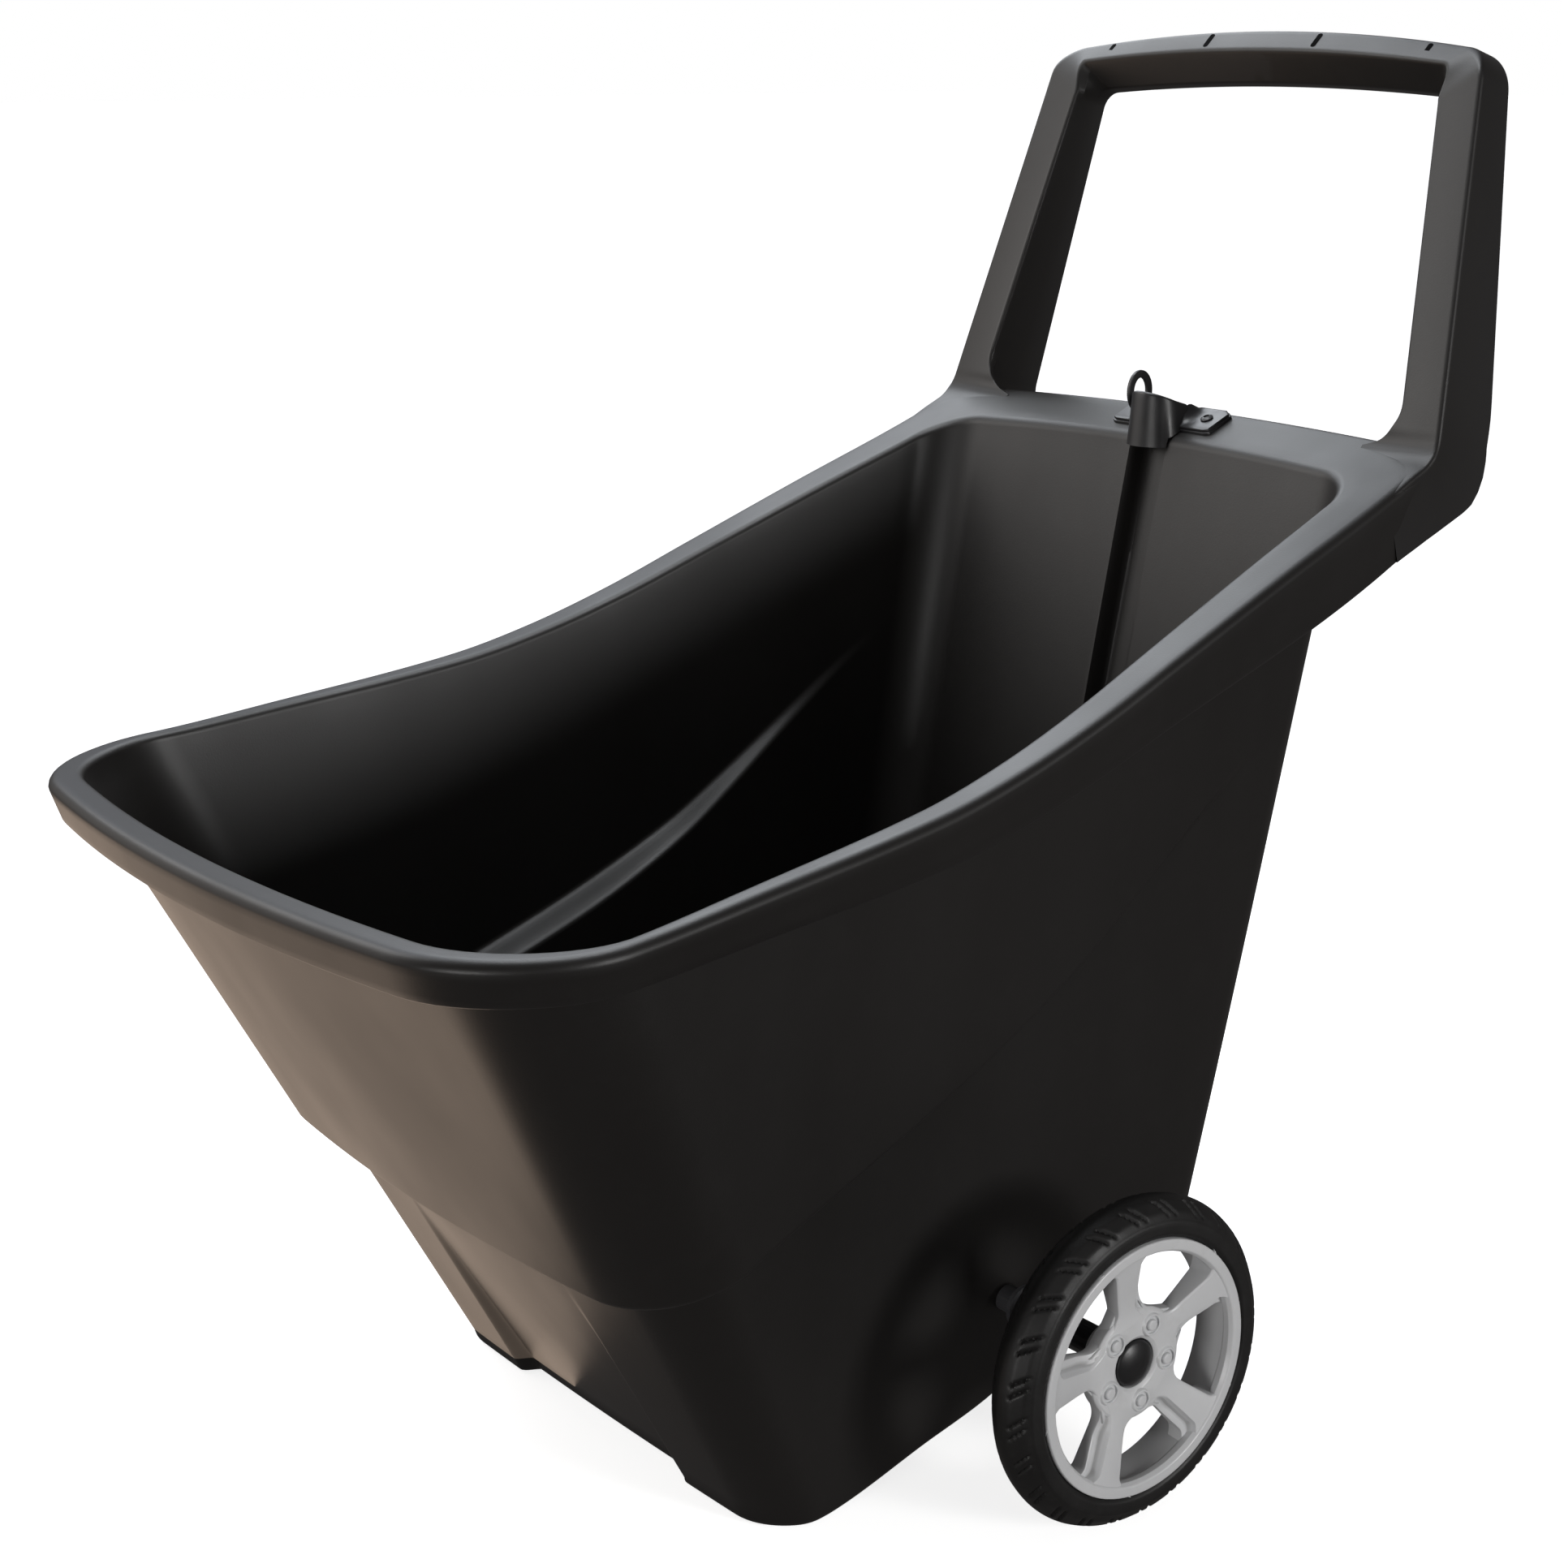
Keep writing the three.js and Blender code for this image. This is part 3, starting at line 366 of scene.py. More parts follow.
def tub_moulding():
    """Walls, rim sheet and turned-down skirt in one surface with thickness, open at the floor."""
    floor_line = meeting_height(lambda y: UNDERSIDE(y) + FLOOR, 0, 1)
    inner_bottom = np.maximum(floor_line - 4, 6)
    rings = wall_rings(inner_bottom, TOP_HEIGHT - INNER_ROUND, 0)
    edge = rings[-1]
    for angle in np.linspace(75, 0, 6):
        a = math.radians(angle)
        out = INNER_ROUND * (1 - math.sin(a))
        xy = edge[:, :2] - INWARD * out
        rings.append(np.column_stack([xy, RIM_HEIGHT(xy[:, 1]) - INNER_ROUND * (1 - math.cos(a))]))
    inner_flat = rings[-1]
    outer_flat = rim_ring(shrunk(RIM_OUTER, OUTER_ROUND), 0)
    for t in (0.25, 0.5, 0.75, 1.0):
        xy = mix(inner_flat[:, :2], outer_flat[:, :2], t)
        rings.append(np.column_stack([xy, RIM_HEIGHT(xy[:, 1])]))
    for angle in np.linspace(15, 90, 6):
        a = math.radians(angle)
        plan = shrunk(RIM_OUTER, OUTER_ROUND * (1 - math.sin(a)))
        rings.append(rim_ring(plan, OUTER_ROUND * (1 - math.cos(a))))
    inner_skirt = shrunk(RIM_OUTER, WALL)
    for t in (0.25, 0.5, 0.75, 0.95, 1.0):
        plan = shrunk(RIM_OUTER, SKIRT_TAPER * t + (0.8 if t == 1.0 else 0))
        rings.append(rim_ring(plan, lambda y, t=t: mix(OUTER_ROUND, SKIRT_DEPTH(y), t)))
    for t in (1.0, 0.5, 0.0):
        plan = shrunk(inner_skirt, SKIRT_TAPER * t - (0.5 if t == 1.0 else 0))
        rings.append(rim_ring(plan, lambda y, t=t: mix(RIM_THICKNESS, SKIRT_DEPTH(y), t)))
    below = meeting_height(UNDERSIDE, 0, 1, WALL)
    rings += wall_rings(below + BOTTOM_ROUND, TOP_HEIGHT - RIM_THICKNESS, WALL)[::-1]
    edge = wall(below + BOTTOM_ROUND, 1, WALL)
    for angle in np.linspace(15, 90, 6):
        a = math.radians(angle)
        xy = edge[:, :2] + INWARD * BOTTOM_ROUND * (1 - math.cos(a))
        rings.append(np.column_stack([xy, below + BOTTOM_ROUND * (1 - math.sin(a))]))
    points = np.stack(rings)
    return points.reshape(-1, 3), grid_faces(len(rings), COLUMNS, False, True)


def reach_of(ring):
    """Readers for a ring of the wall: half width at y, then front y and rear y at x from the middle."""
    front_end = len(FRONT_STEPS) + CORNER_STEPS + 1
    rear_start = front_end + SIDE_STEPS - 1
    half = ring[: rear_start + CORNER_STEPS + 1 + len(REAR_STEPS)]
    side = half[len(FRONT_STEPS) : rear_start + CORNER_STEPS + 1]
    side = side[np.argsort(side[:, 1])]
    front, rear = half[:front_end], half[rear_start:][::-1]
    return (
        lambda y: np.interp(y, side[:, 1], side[:, 0]),
        lambda x: np.interp(x, front[:, 0], front[:, 1]),
        lambda x: np.interp(x, rear[:, 0], rear[:, 1]),
    )


def tub_floor():
    """The inner floor, edge to edge in the walls."""
    rows = np.unique(np.concatenate([
        np.linspace(-192, -76, 16), [-76, -74, -50, -48, -26.5, -25.5], np.linspace(-25.5, 25.5, 6),
        [26.5, 42, 44], np.linspace(44, 172, 16), np.linspace(174, 188, 8),
    ]))
    near_groove = [0.04, 0.055, 0.06, 0.065, 0.075, 0.085, 0.095, 0.1, 0.105]
    near_corner = [0.54, 0.58, 0.62, 0.66]
    extra = np.array(near_groove + near_corner)
    across = np.unique(np.concatenate([np.linspace(-1, 1, 25), -extra, extra]))
    points = []
    for y in rows:
        half_at, front_at, rear_at = reach_of(wall(float(floor_height(y)), 1, 1.0))
        half = half_at(y)
        line = []
        for u in across:
            at = np.clip(y, front_at(abs(u * half)), rear_at(abs(u * half)))
            line.append((u * half, at, float(floor_height(at))))
        points.append(line)
    return np.array(points).reshape(-1, 3), grid_faces(len(rows), len(across))


def tub_underside():
    """The skid feet, the belly between them and the ribbed axle tunnel, seen from below."""
    below = meeting_height(UNDERSIDE, 0, 1, WALL)
    edge = wall(below + BOTTOM_ROUND, 1, WALL)[:, :2] + INWARD * (BOTTOM_ROUND - 0.4)
    half_at, front_at, rear_at = reach_of(edge)
    rows = np.unique(np.concatenate([
        np.linspace(edge[:, 1].min(), -60, 26), [TUNNEL_FRONT - 0.5, TUNNEL_FRONT + 0.5, -20.5, -19.5],
        np.linspace(-19, 19, 5), [19.5, 20.5, TUNNEL_REAR - 2, TUNNEL_REAR, TUNNEL_REAR + 0.5],
        np.linspace(40, edge[:, 1].max(), 20),
    ]))
    edges = [BELLY_HALF_WIDTH, TUNNEL_END] + [abs(r) + s for r in TUNNEL_RIBS[2:] for s in (-2, 2)]
    beside_edges = [e + s for e in edges for s in (-0.4, 0.4)]
    fixed = sorted(set([0.0] + beside_edges + [20, 50, 80, 84, 88, 92, 130, 150, 172]))
    columns = np.array([-f for f in fixed[::-1]] + fixed[1:])
    points = []
    for y in rows:
        half = half_at(y)
        line = []
        for x in (-half, *columns, half):
            x = float(np.clip(x, -half, half))
            at = float(np.clip(y, front_at(abs(x)), rear_at(abs(x))))
            z = float(UNDERSIDE(at)) + (BELLY_RISE if abs(x) < BELLY_HALF_WIDTH and at == y else 0)
            on_rib = any(abs(x - r) < 2 for r in TUNNEL_RIBS)
            if abs(x) < TUNNEL_END and not on_rib and float(tunnel_height(at)) > z:
                z = float(tunnel_height(at))
            line.append((x, at, z))
        points.append(line)
    return np.array(points).reshape(-1, 3), grid_faces(len(rows), len(columns) + 2)


# ---- handle

BASE_FILLET = 26.0
EDGE_FILLET = 28.0
GRIP_NOSE, GRIP_DROP = 15.0, 9.0
SHEET = 2.4
# Side view of the rear edge that the skirt and the legs share, as [y, height].
BACK_LINE = np.array([
    (150, 466), (183, 480), (318, 532), (326, 536), (332, 543), (336, 552), (337.5, 562), (338, 574)], float)


def rim_slope():
    """Slope of the rim where the handle stands on it."""
    return math.atan(float(RIM_HEIGHT(290) - RIM_HEIGHT(266)) / 24)


def handle_curve(q):
    """Point on the handle's front face in side view, and the direction straight back from it.

    The face runs along the rim, round a fillet and then up the lean; q is the distance along it from the foot.
    """
    slope = rim_slope()
    lean = math.pi / 2 - LEAN
    turn = lean - slope
    reach = BASE_FILLET * math.tan(turn / 2)
    along_rim = np.array([math.cos(slope), math.sin(slope)])
    foot = np.array([LEG_FOOT_Y, float(RIM_HEIGHT(LEG_FOOT_Y))])
    if q <= -reach:
        angle = slope
        point = foot + along_rim * q
    elif q >= reach:
        angle = lean
        point = foot + np.array([math.cos(lean), math.sin(lean)]) * q
    else:
        angle = slope + turn * (q + reach) / (2 * reach)
        start = foot - along_rim * reach
        centre = start + BASE_FILLET * np.array([-math.sin(slope), math.cos(slope)])
        point = centre + BASE_FILLET * np.array([math.sin(angle), -math.cos(angle)])
    return point, np.array([math.sin(angle), -math.cos(angle)])


def back_distance(point, back):
    """How far the flange reaches back before it meets the handle's rear edge line."""
    leg = np.array([LEG_FOOT_Y, float(RIM_HEIGHT(LEG_FOOT_Y))])
    up = np.array([math.sin(LEAN), math.cos(LEAN)])
    out = np.array([math.cos(LEAN), -math.sin(LEAN)])
    top = leg + up * HANDLE_HEIGHT + out * LEG_DEPTH_TOP
    low = leg + up * 16 + out * (LEG_DEPTH_FOOT - 1)
    line = np.vstack([BACK_LINE[:-1], low, top, top + (top - low)])
    best = 80.0
    for a, b in zip(line[:-1], line[1:]):
        d = b - a
        det = back[0] * -d[1] + back[1] * d[0]
        if abs(det) < 1e-9:
            continue
        rhs = a - point
        t = (rhs[0] * -d[1] + rhs[1] * d[0]) / det
        s = (back[0] * rhs[1] - back[1] * rhs[0]) / det
        if 0 <= s <= 1 and 5 < t < best:
            best = t
    return best


def leg_outer(q):
    """Distance from the middle to the outer face of a leg."""
    if q >= 0:
        return mix(LEG_HALF_WIDTH_FOOT, LEG_HALF_WIDTH_TOP, q / HANDLE_HEIGHT)
    y = LEG_FOOT_Y + q * math.cos(rim_slope())
    return LEG_HALF_WIDTH_FOOT + max(0.0, 266 - y) * 0.0689


def handle_stations():
    """Half of the handle, from the rim at the right to the middle of the grip.

    A station is its outer point and inner point, each as (x, up the lean), how far its front sheet flares
    inwards at the base, and how much of it has turned from leg into grip.
    """
    corner, inner_corner, knee = 26.0, 13.0, 4.0
    stations = []
    for q in np.concatenate([np.linspace(-46, -14, 9), np.linspace(-11, 34, 30)]):
        h = np.clip((knee + EDGE_FILLET - q) / EDGE_FILLET, 0, 1)
        flare = EDGE_FILLET * (1 - math.sqrt(max(0.0, 1 - h * h))) * (1 - float(ramp(-q, 2, 18)))
        stations.append(((leg_outer(q), q), (leg_outer(q) - LEG_FACE, q), flare, 0.0))
    outer_end = HANDLE_HEIGHT - corner
    inner_end = HANDLE_HEIGHT - BAR_FACE - inner_corner
    for t in np.linspace(0, 1, 27)[1:]:
        outer_q, inner_q = mix(34, outer_end, t), mix(34, inner_end, t)
        stations.append(((leg_outer(outer_q), outer_q), (leg_outer(inner_q) - LEG_FACE, inner_q), 0.0, 0.0))
    slant = math.atan((LEG_HALF_WIDTH_FOOT - LEG_HALF_WIDTH_TOP) / HANDLE_HEIGHT)
    side = np.array([math.cos(slant), math.sin(slant)])
    outer_centre = np.array([leg_outer(outer_end), outer_end]) - corner * side
    inner_centre = np.array([leg_outer(inner_end) - LEG_FACE, inner_end]) - inner_corner * side
    for t in np.linspace(0, 1, 17)[1:]:
        a = mix(slant, math.pi / 2 - 0.06, t)
        arm = np.array([math.cos(a), math.sin(a)])
        outer, inner = outer_centre + corner * arm, inner_centre + inner_corner * arm
        stations.append((tuple(outer), tuple(inner), 0.0, float(ramp(t, 0.1, 1.0))))
    (outer_x, outer_q), (inner_x, inner_q) = stations[-1][:2]
    for t in np.linspace(0, 1, 22)[1:]:
        bow = 1 - (1 - t) ** 2
        outer = (outer_x * (1 - t), outer_q + (HANDLE_ARCH + 2.0) * bow)
        inner = (inner_x * (1 - t), mix(inner_q, HANDLE_HEIGHT - BAR_FACE + 3.5, bow))
        stations.append((outer, inner, 0.0, 1.0))
    return stations


def handle_section(outer, inner, flare, grip):
    """Channel section between two points. A leg has a flat front; the grip has a bevel over a nose."""
    width = math.hypot(outer[0] - inner[0], outer[1] - inner[1])
    deep_out = back_distance(*handle_curve(outer[1]))
    deep_in = back_distance(*handle_curve(inner[1]))
    if inner[1] < 8:
        deep_in = mix(12.0, deep_in, float(ramp(inner[1], -8, 8)))
    lip = 7.0 - 4.0 * min(1.0, flare / 4)
    nose = np.array([mix(width + flare, GRIP_NOSE, grip), 0.0])
    low = np.array([width, mix(0.6 * deep_in, 20.0, grip)])
    slanted = (nose + (low - nose) * 0.3, nose + (low - nose) * 0.32)
    upright = (np.array([width + flare, lip]), np.array([width, lip + 0.3]))
    corners = [(0, deep_out), (0, GRIP_DROP * grip), tuple(nose)]
    corners += [tuple(mix(a, b, grip)) for a, b in zip(upright, slanted)]
    corners += [tuple(low), (width, deep_in)]
    radii = [mix(3.4, 7.0, grip), mix(3.0, 3.6, grip), 0.8, 0.8, mix(1.0, 5.0, grip)]
    front = rounded(corners, [0, *radii, 0], 6)
    along = np.gradient(front, axis=0)
    along /= np.maximum(np.linalg.norm(along, axis=1), 1e-9)[:, None]
    skin = front + np.column_stack([-along[:, 1], along[:, 0]]) * SHEET
    skin[0], skin[-1] = (SHEET, deep_out), (width - SHEET, deep_in)
    points = []
    for u, v in np.vstack([front, skin[::-1]]):
        f = u / width
        q = mix(outer[1], inner[1], f)
        point, back = handle_curve(q)
        side_slope = mix(SKIRT_TAPER / float(SKIRT_DEPTH(260)), 0.045, float(ramp(q, -10, 40)))
        taper = side_slope * v * (1 - f) - 0.03 * v * min(f, 1)
        lift = 0.2 * float(ramp(q, -30, -14)) - 0.9 * (1 - float(ramp(q, -46, -22)))
        on_face = v < 10
        dive = mix(0.7, 3.4, ramp(q, -12, 0)) * (1 - ramp(q, 2, 16)) * ramp(f, 0.55, 1.0)
        lift -= float(dive) if on_face else 0.0
        spot = point + back * (v - (lift if on_face else 0))
        points.append((mix(outer[0], inner[0], f) - taper + (lift if f < 0.2 else 0), spot[0], spot[1]))
    return points


def handle_moulding():
    half = np.array([handle_section(*station) for station in handle_stations()])
    rings = np.concatenate([half, half[:-1][::-1] * [-1, 1, 1]])
    return rings.reshape(-1, 3), grid_faces(len(rings), rings.shape[1], False, True)


SLOT_PLACES = (-135, -46, 46, 135)


def grip_slots():
    """Four narrow slot-shaped plugs across the bevel along the top of the grip; their near-black look is
    painted shade standing for the slots' depth.
    """
    tops = np.array([station[0] for station in handle_stations()[-21:]])[::-1]
    slope = np.array([GRIP_NOSE, -GRIP_DROP]) / math.hypot(GRIP_NOSE, GRIP_DROP)
    parts = []
    for x in SLOT_PLACES:
        q_top = np.interp(abs(x), tops[:, 0], tops[:, 1])
        rise = np.interp(abs(x) + 2, tops[:, 0], tops[:, 1]) - np.interp(abs(x) - 2, tops[:, 0], tops[:, 1])
        tilt = math.atan2(rise, 4)
        ring, low = [], []
        for across, along in rounded([(-1.9, 2.6), (1.9, 2.6), (1.9, 14.0), (-1.9, 14.0)], 1.7, 4):
            u, v = along * slope[0], GRIP_DROP + along * slope[1]
            q = q_top - u - abs(tilt) * across * (1 if x > 0 else -1)
            for lift, line in ((0.42, ring), (-1.2, low)):
                point, back = handle_curve(q - lift * slope[1])
                spot = point + back * (v - lift * slope[0])
                line.append((x + across, spot[0], spot[1]))
        n = len(ring)
        faces = [list(range(n))] + [[i, (i + 1) % n, n + (i + 1) % n, n + i] for i in range(n)]
        parts.append((np.array(ring + low), faces))
    return join(parts)


# ---- wheels

TYRE_INNER, TYRE_OUTER = 251.0, 282.0
RIM_SEAT = 75.5
HUB_INNER, HUB_SEAT, HUB_FACE = 247.7, 264.0, 274.0
SPOKES = 5
SPOKE_START, LUG_START, LUG_CIRCLE = math.radians(28), math.radians(64), 23.5
TREAD_PAIRS, TREAD_PAIR_GAP, TREAD_DEPTH, TREAD_SIDE_DEPTH = 24, 7.0, 1.2, 0.7
CAP_RADIUS = 13.8


def about_x(points, angle):
    """Points turned about the X axis."""
    x, y, z = np.asarray(points, float).T
    c, s = math.cos(angle), math.sin(angle)
    return np.stack([x, y * c - z * s, y * s + z * c], -1)


def tyre_shape():
    """Moulded tyre with slanted pairs of grooves on both shoulders."""
    middle, half = (TYRE_INNER + TYRE_OUTER) / 2, (TYRE_OUTER - TYRE_INNER) / 2
    inner, r = RIM_SEAT + 0.3, TYRE_RADIUS
    corners = [(-half + 2, inner), (-half, inner + 2.5), (-half, r - 13)]
    corners += [(-half + 3, r - 7), (-half + 9, r - 2), (0, r + 0.2)]
    corners += [(-x, y) for x, y in corners[-2::-1]]
    shape = rounded(corners, [1, 1.5, 5, 6, 7, 20, 7, 6, 5, 1.5, 1], 5)
    closed = np.vstack([shape, shape[:1]])
    length = np.concatenate([[0], np.cumsum(np.linalg.norm(np.diff(closed, axis=0), axis=1))])
    steps = np.arange(0, length[-1], 0.9)
    profile = np.column_stack([np.interp(steps, length, closed[:, axis]) for axis in (0, 1)])
    segments = 620
    angle = np.linspace(0, 2 * math.pi, segments, endpoint=False)
    pitch = 2 * math.pi * r / TREAD_PAIRS
    along = (angle * r) % pitch
    depth = np.zeros((len(profile), segments))
    v = np.abs(profile[:, 0])
    for offset in (0.0, TREAD_PAIR_GAP):
        for turn in (-pitch, 0.0, pitch):
            centre = offset + turn + (half - v)[:, None] * 0.95
            reach = np.abs(along[None, :] - centre) * 0.72
            depth = np.maximum(depth, 1 - ramp(reach, 0.3, 1.1))
    zone = ramp(v, 4.5, 6.5) * (1 - ramp(v, 12.2, 14.0)) * (profile[:, 1] > r - 13)
    ridge = 0.35 * np.exp(-(((profile[:, 1] - 85.5) / 0.7) ** 2)) * (v > half - 0.8)
    radius = profile[:, 1][:, None] - TREAD_DEPTH * depth * zone[:, None]
    sideways = ridge[:, None] - TREAD_SIDE_DEPTH * depth * zone[:, None]
    x = profile[:, 0][:, None] + middle + np.sign(profile[:, 0])[:, None] * sideways
    y, z = radius * np.cos(angle), radius * np.sin(angle)
    return np.stack([x, y, z], -1).reshape(-1, 3), grid_faces(len(profile), segments, True, True)


def spoke_shape():
    """One broad spoke: flat face flush with hub and lip, with a lower rounded step along one side."""
    stations = np.concatenate([np.linspace(19, 34, 16), np.linspace(36, 60, 9), np.linspace(61, 72, 12)])
    rings = []
    for u in stations:
        t = np.clip((u - 24) / 47.5, 0, 1)
        low, high = mix(-10, -13, t**1.3), mix(8, 14.5, t**1.2)
        hub_flare = 13 * max(0.0, 1 - (u - 24) / 15) ** 2.2
        rim_flare = 8 * max(0.0, 1 - (70 - u) / 8) ** 2
        low, high = low - hub_flare - rim_flare, high + hub_flare + rim_flare
        face = HUB_FACE + mix(-0.6, 0.25, ramp(u, 21, 26)) + 7.4 * float(ramp(u, 26, 74)) ** 1.15
        step = mix(1.4, 5.4, ramp(u, 27, 46))
        back = HUB_FACE - 9.5
        section = [(back, low + 1), (face - step - 1.8, low)]
        section += [(face - step - 0.5, low + 0.5), (face - step, low + 1.8)]
        section += [(face - step, low + 5.2), (face - step * 0.8, low + 6.2), (face - step * 0.25, low + 7.2)]
        section += [(face - 0.1, low + 8.0), (face, low + 8.8)]
        section += [(face, high - 1.8), (face - 0.25, high - 0.8), (face - 0.8, high - 0.2)]
        section += [(face - 1.8, high), (back, high - 1)]
        rings.append([(x, u, w) for x, w in section])
    return capped(rings)


def wheel_shape():
    """Grey wheel: barrel with a lip, hub, spokes, and a raised lug with a collar beside each spoke."""
    barrel = rounded(
        [(252, 70.5), (252, RIM_SEAT), (282.5, RIM_SEAT), (282.5, 69.2), (279.6, 67.6), (275.5, 68.0),
         (273.5, 70.2)],
        [0.4, 0.4, 1.2, 1.6, 1.2, 2.0, 1.5], 5)
    hub = rounded(
        [(HUB_INNER, 8.3), (HUB_INNER, 15), (263, 17), (263, 32), (HUB_FACE - 1.5, 33.5), (HUB_FACE, 31.5),
         (HUB_FACE, 16.8), (HUB_FACE - 1.6, 14.6), (HUB_SEAT, 14.3), (HUB_SEAT, 8.3)],
        [0.3, 1, 1.5, 1, 1.6, 1.6, 1.2, 0.8, 0.4, 0.3], 4)
    parts = [lathe(barrel, 192), lathe(hub, 128)]
    spoke, spoke_faces = spoke_shape()
    button = rounded(
        [(HUB_FACE - 3, 0.01), (HUB_FACE - 3, 3.6), (HUB_FACE + 2.2, 3.3), (HUB_FACE + 2.2, 0.01)],
        [0, 0.2, 1.2, 0], 4)
    collar = rounded(
        [(HUB_FACE - 0.6, 5.0), (HUB_FACE + 1.5, 5.3), (HUB_FACE + 1.5, 6.3), (HUB_FACE - 0.6, 7.4)],
        [0.2, 0.4, 0.6, 0.2], 3)
    for i in range(SPOKES):
        turn = 2 * math.pi * i / SPOKES
        parts.append((about_x(spoke, SPOKE_START + turn), spoke_faces))
        for profile in (button, collar):
            lug, lug_faces = lathe(profile, 28)
            lug = lug + [0, LUG_CIRCLE, 0]
            parts.append((about_x(lug, LUG_START + turn), lug_faces))
    return join(parts)


def cap_shape():
    """Domed cap with a skirt that plugs into the hub."""
    face = HUB_FACE + 2.5
    dome = [(face - 3.6 * (r / CAP_RADIUS) ** 2.4, r) for r in np.linspace(0.01, CAP_RADIUS - 0.5, 12)]
    dome += [(face - 4.3, CAP_RADIUS), (HUB_SEAT + 2, CAP_RADIUS)]
    dome += [(HUB_SEAT + 2, 11.6), (face - 5, 11.6), (face - 5, 0.01)]
    return lathe(dome, 72)


def placed_end(shape, side):
    """A shape made for the axle's right end, at the axle's height; for the left end it is turned about Z."""
    points, faces = shape
    points = np.asarray(points, float) * ([1, 1, 1] if side == "right" else [-1, -1, 1])
    return points + [0, 0, AXLE_HEIGHT], faces


# ---- tool clip and pull ring

CLIP_Y, CLIP_LIFT = 281.0, 0.7
CLIP_Z = float(RIM_HEIGHT(CLIP_Y)) + CLIP_LIFT
CLIP_TILT = math.atan2(float(RIM_HEIGHT(291) - RIM_HEIGHT(271)), 20)
CLIP_HALF_WIDTH, CLIP_FRONT, CLIP_BACK = 42.0, -8.0, 18.0
HOOD_RADIUS, HOOD_FRONT, HOOD_BACK, HOOD_HANG = 19.0, -29.0, 8.0, -20.0
HOOD_LOW, HOOD_HIGH, HOOD_SLOPE = -13.3, 21.7, 0.3
SCREW_X, SCREW_Y = 31.0, 5.0
RING_X, RING_Y, RING_Z = -22.5, -4.0, 9.0
RING_BOSS, RING_WIRE, RING_HALF_WIDTH, RING_HEIGHT = 2.0, 1.3, 9.5, 25.0


def on_rim(points):
    """From the clip's own plane to its place on the tilted rear rim."""
    x, y, z = np.asarray(points, float).T
    c, s = math.cos(CLIP_TILT), math.sin(CLIP_TILT)
    return np.stack([x, CLIP_Y + y * c - z * s, CLIP_Z + y * s + z * c], -1)


def hood_plan(inset):
    """Plan of the hood from its back right corner round the half-round front to its back left corner."""
    r = HOOD_RADIUS - inset
    centre = HOOD_FRONT + HOOD_RADIUS
    side = [(r, y) for y in np.linspace(HOOD_BACK, centre, 10)[:-1]]
    front = [(r * math.cos(a), centre - r * math.sin(a)) for a in np.linspace(0, math.pi, 33)]
    return np.array(side + front + [(-x, y) for x, y in side[::-1]])


def hood_top(y):
    """Height of the hood's sloping roof above the clip's plane."""
    return HOOD_HIGH - HOOD_SLOPE * (y - HOOD_FRONT) - 4.0 * ramp(y, 0, HOOD_BACK)


def hood_shell(inset, drop):
    """One skin of the hood: up the flanks, round the edge and over the roof."""
    plan = hood_plan(inset)
    slope = math.tan(CLIP_TILT)
    bottom = np.where(plan[:, 1] < HOOD_HANG + 1.5, HOOD_LOW, plan[:, 1] * slope + 0.2)
    round_off, draft = 1.6, 2.6
    rings = []
    edge = hood_top(plan[:, 1]) - drop - round_off
    for t in np.linspace(0, 1, 10):
        rings.append(np.column_stack([hood_plan(inset + draft * t), mix(bottom, edge, t)]))
    for a in np.radians([20, 40, 60, 75, 90]):
        shifted = hood_plan(inset + draft + round_off * (1 - math.cos(a)))
        rings.append(np.column_stack([shifted, edge + round_off * math.sin(a)]))
    for more in (7, 11, 15, HOOD_RADIUS - inset - 0.05):
        shifted = hood_plan(inset + more)
        rings.append(np.column_stack([shifted, hood_top(shifted[:, 1]) - drop]))
    return np.array(rings)


def hood_shape():
    """The clip's hood, with thickness, open at the back and below."""
    outer, inner = hood_shell(0, 0), hood_shell(2.4, 2.4)
    rows, columns = outer.shape[:2]
    faces = [list(f) for f in grid_faces(rows, columns)]
    faces += [list(f)[::-1] for f in grid_faces(rows, columns, start=rows * columns)]
    shift = rows * columns
    for c in range(columns - 1):
        faces.append([c, c + 1, c + 1 + shift, c + shift])
    for r in range(rows - 1):
        for c in (0, columns - 1):
            here, above = r * columns + c, (r + 1) * columns + c
            faces.append([here, above, above + shift, here + shift])
    points = np.concatenate([outer.reshape(-1, 3), inner.reshape(-1, 3)])
    return points + [0, CLIP_Y, CLIP_Z], faces


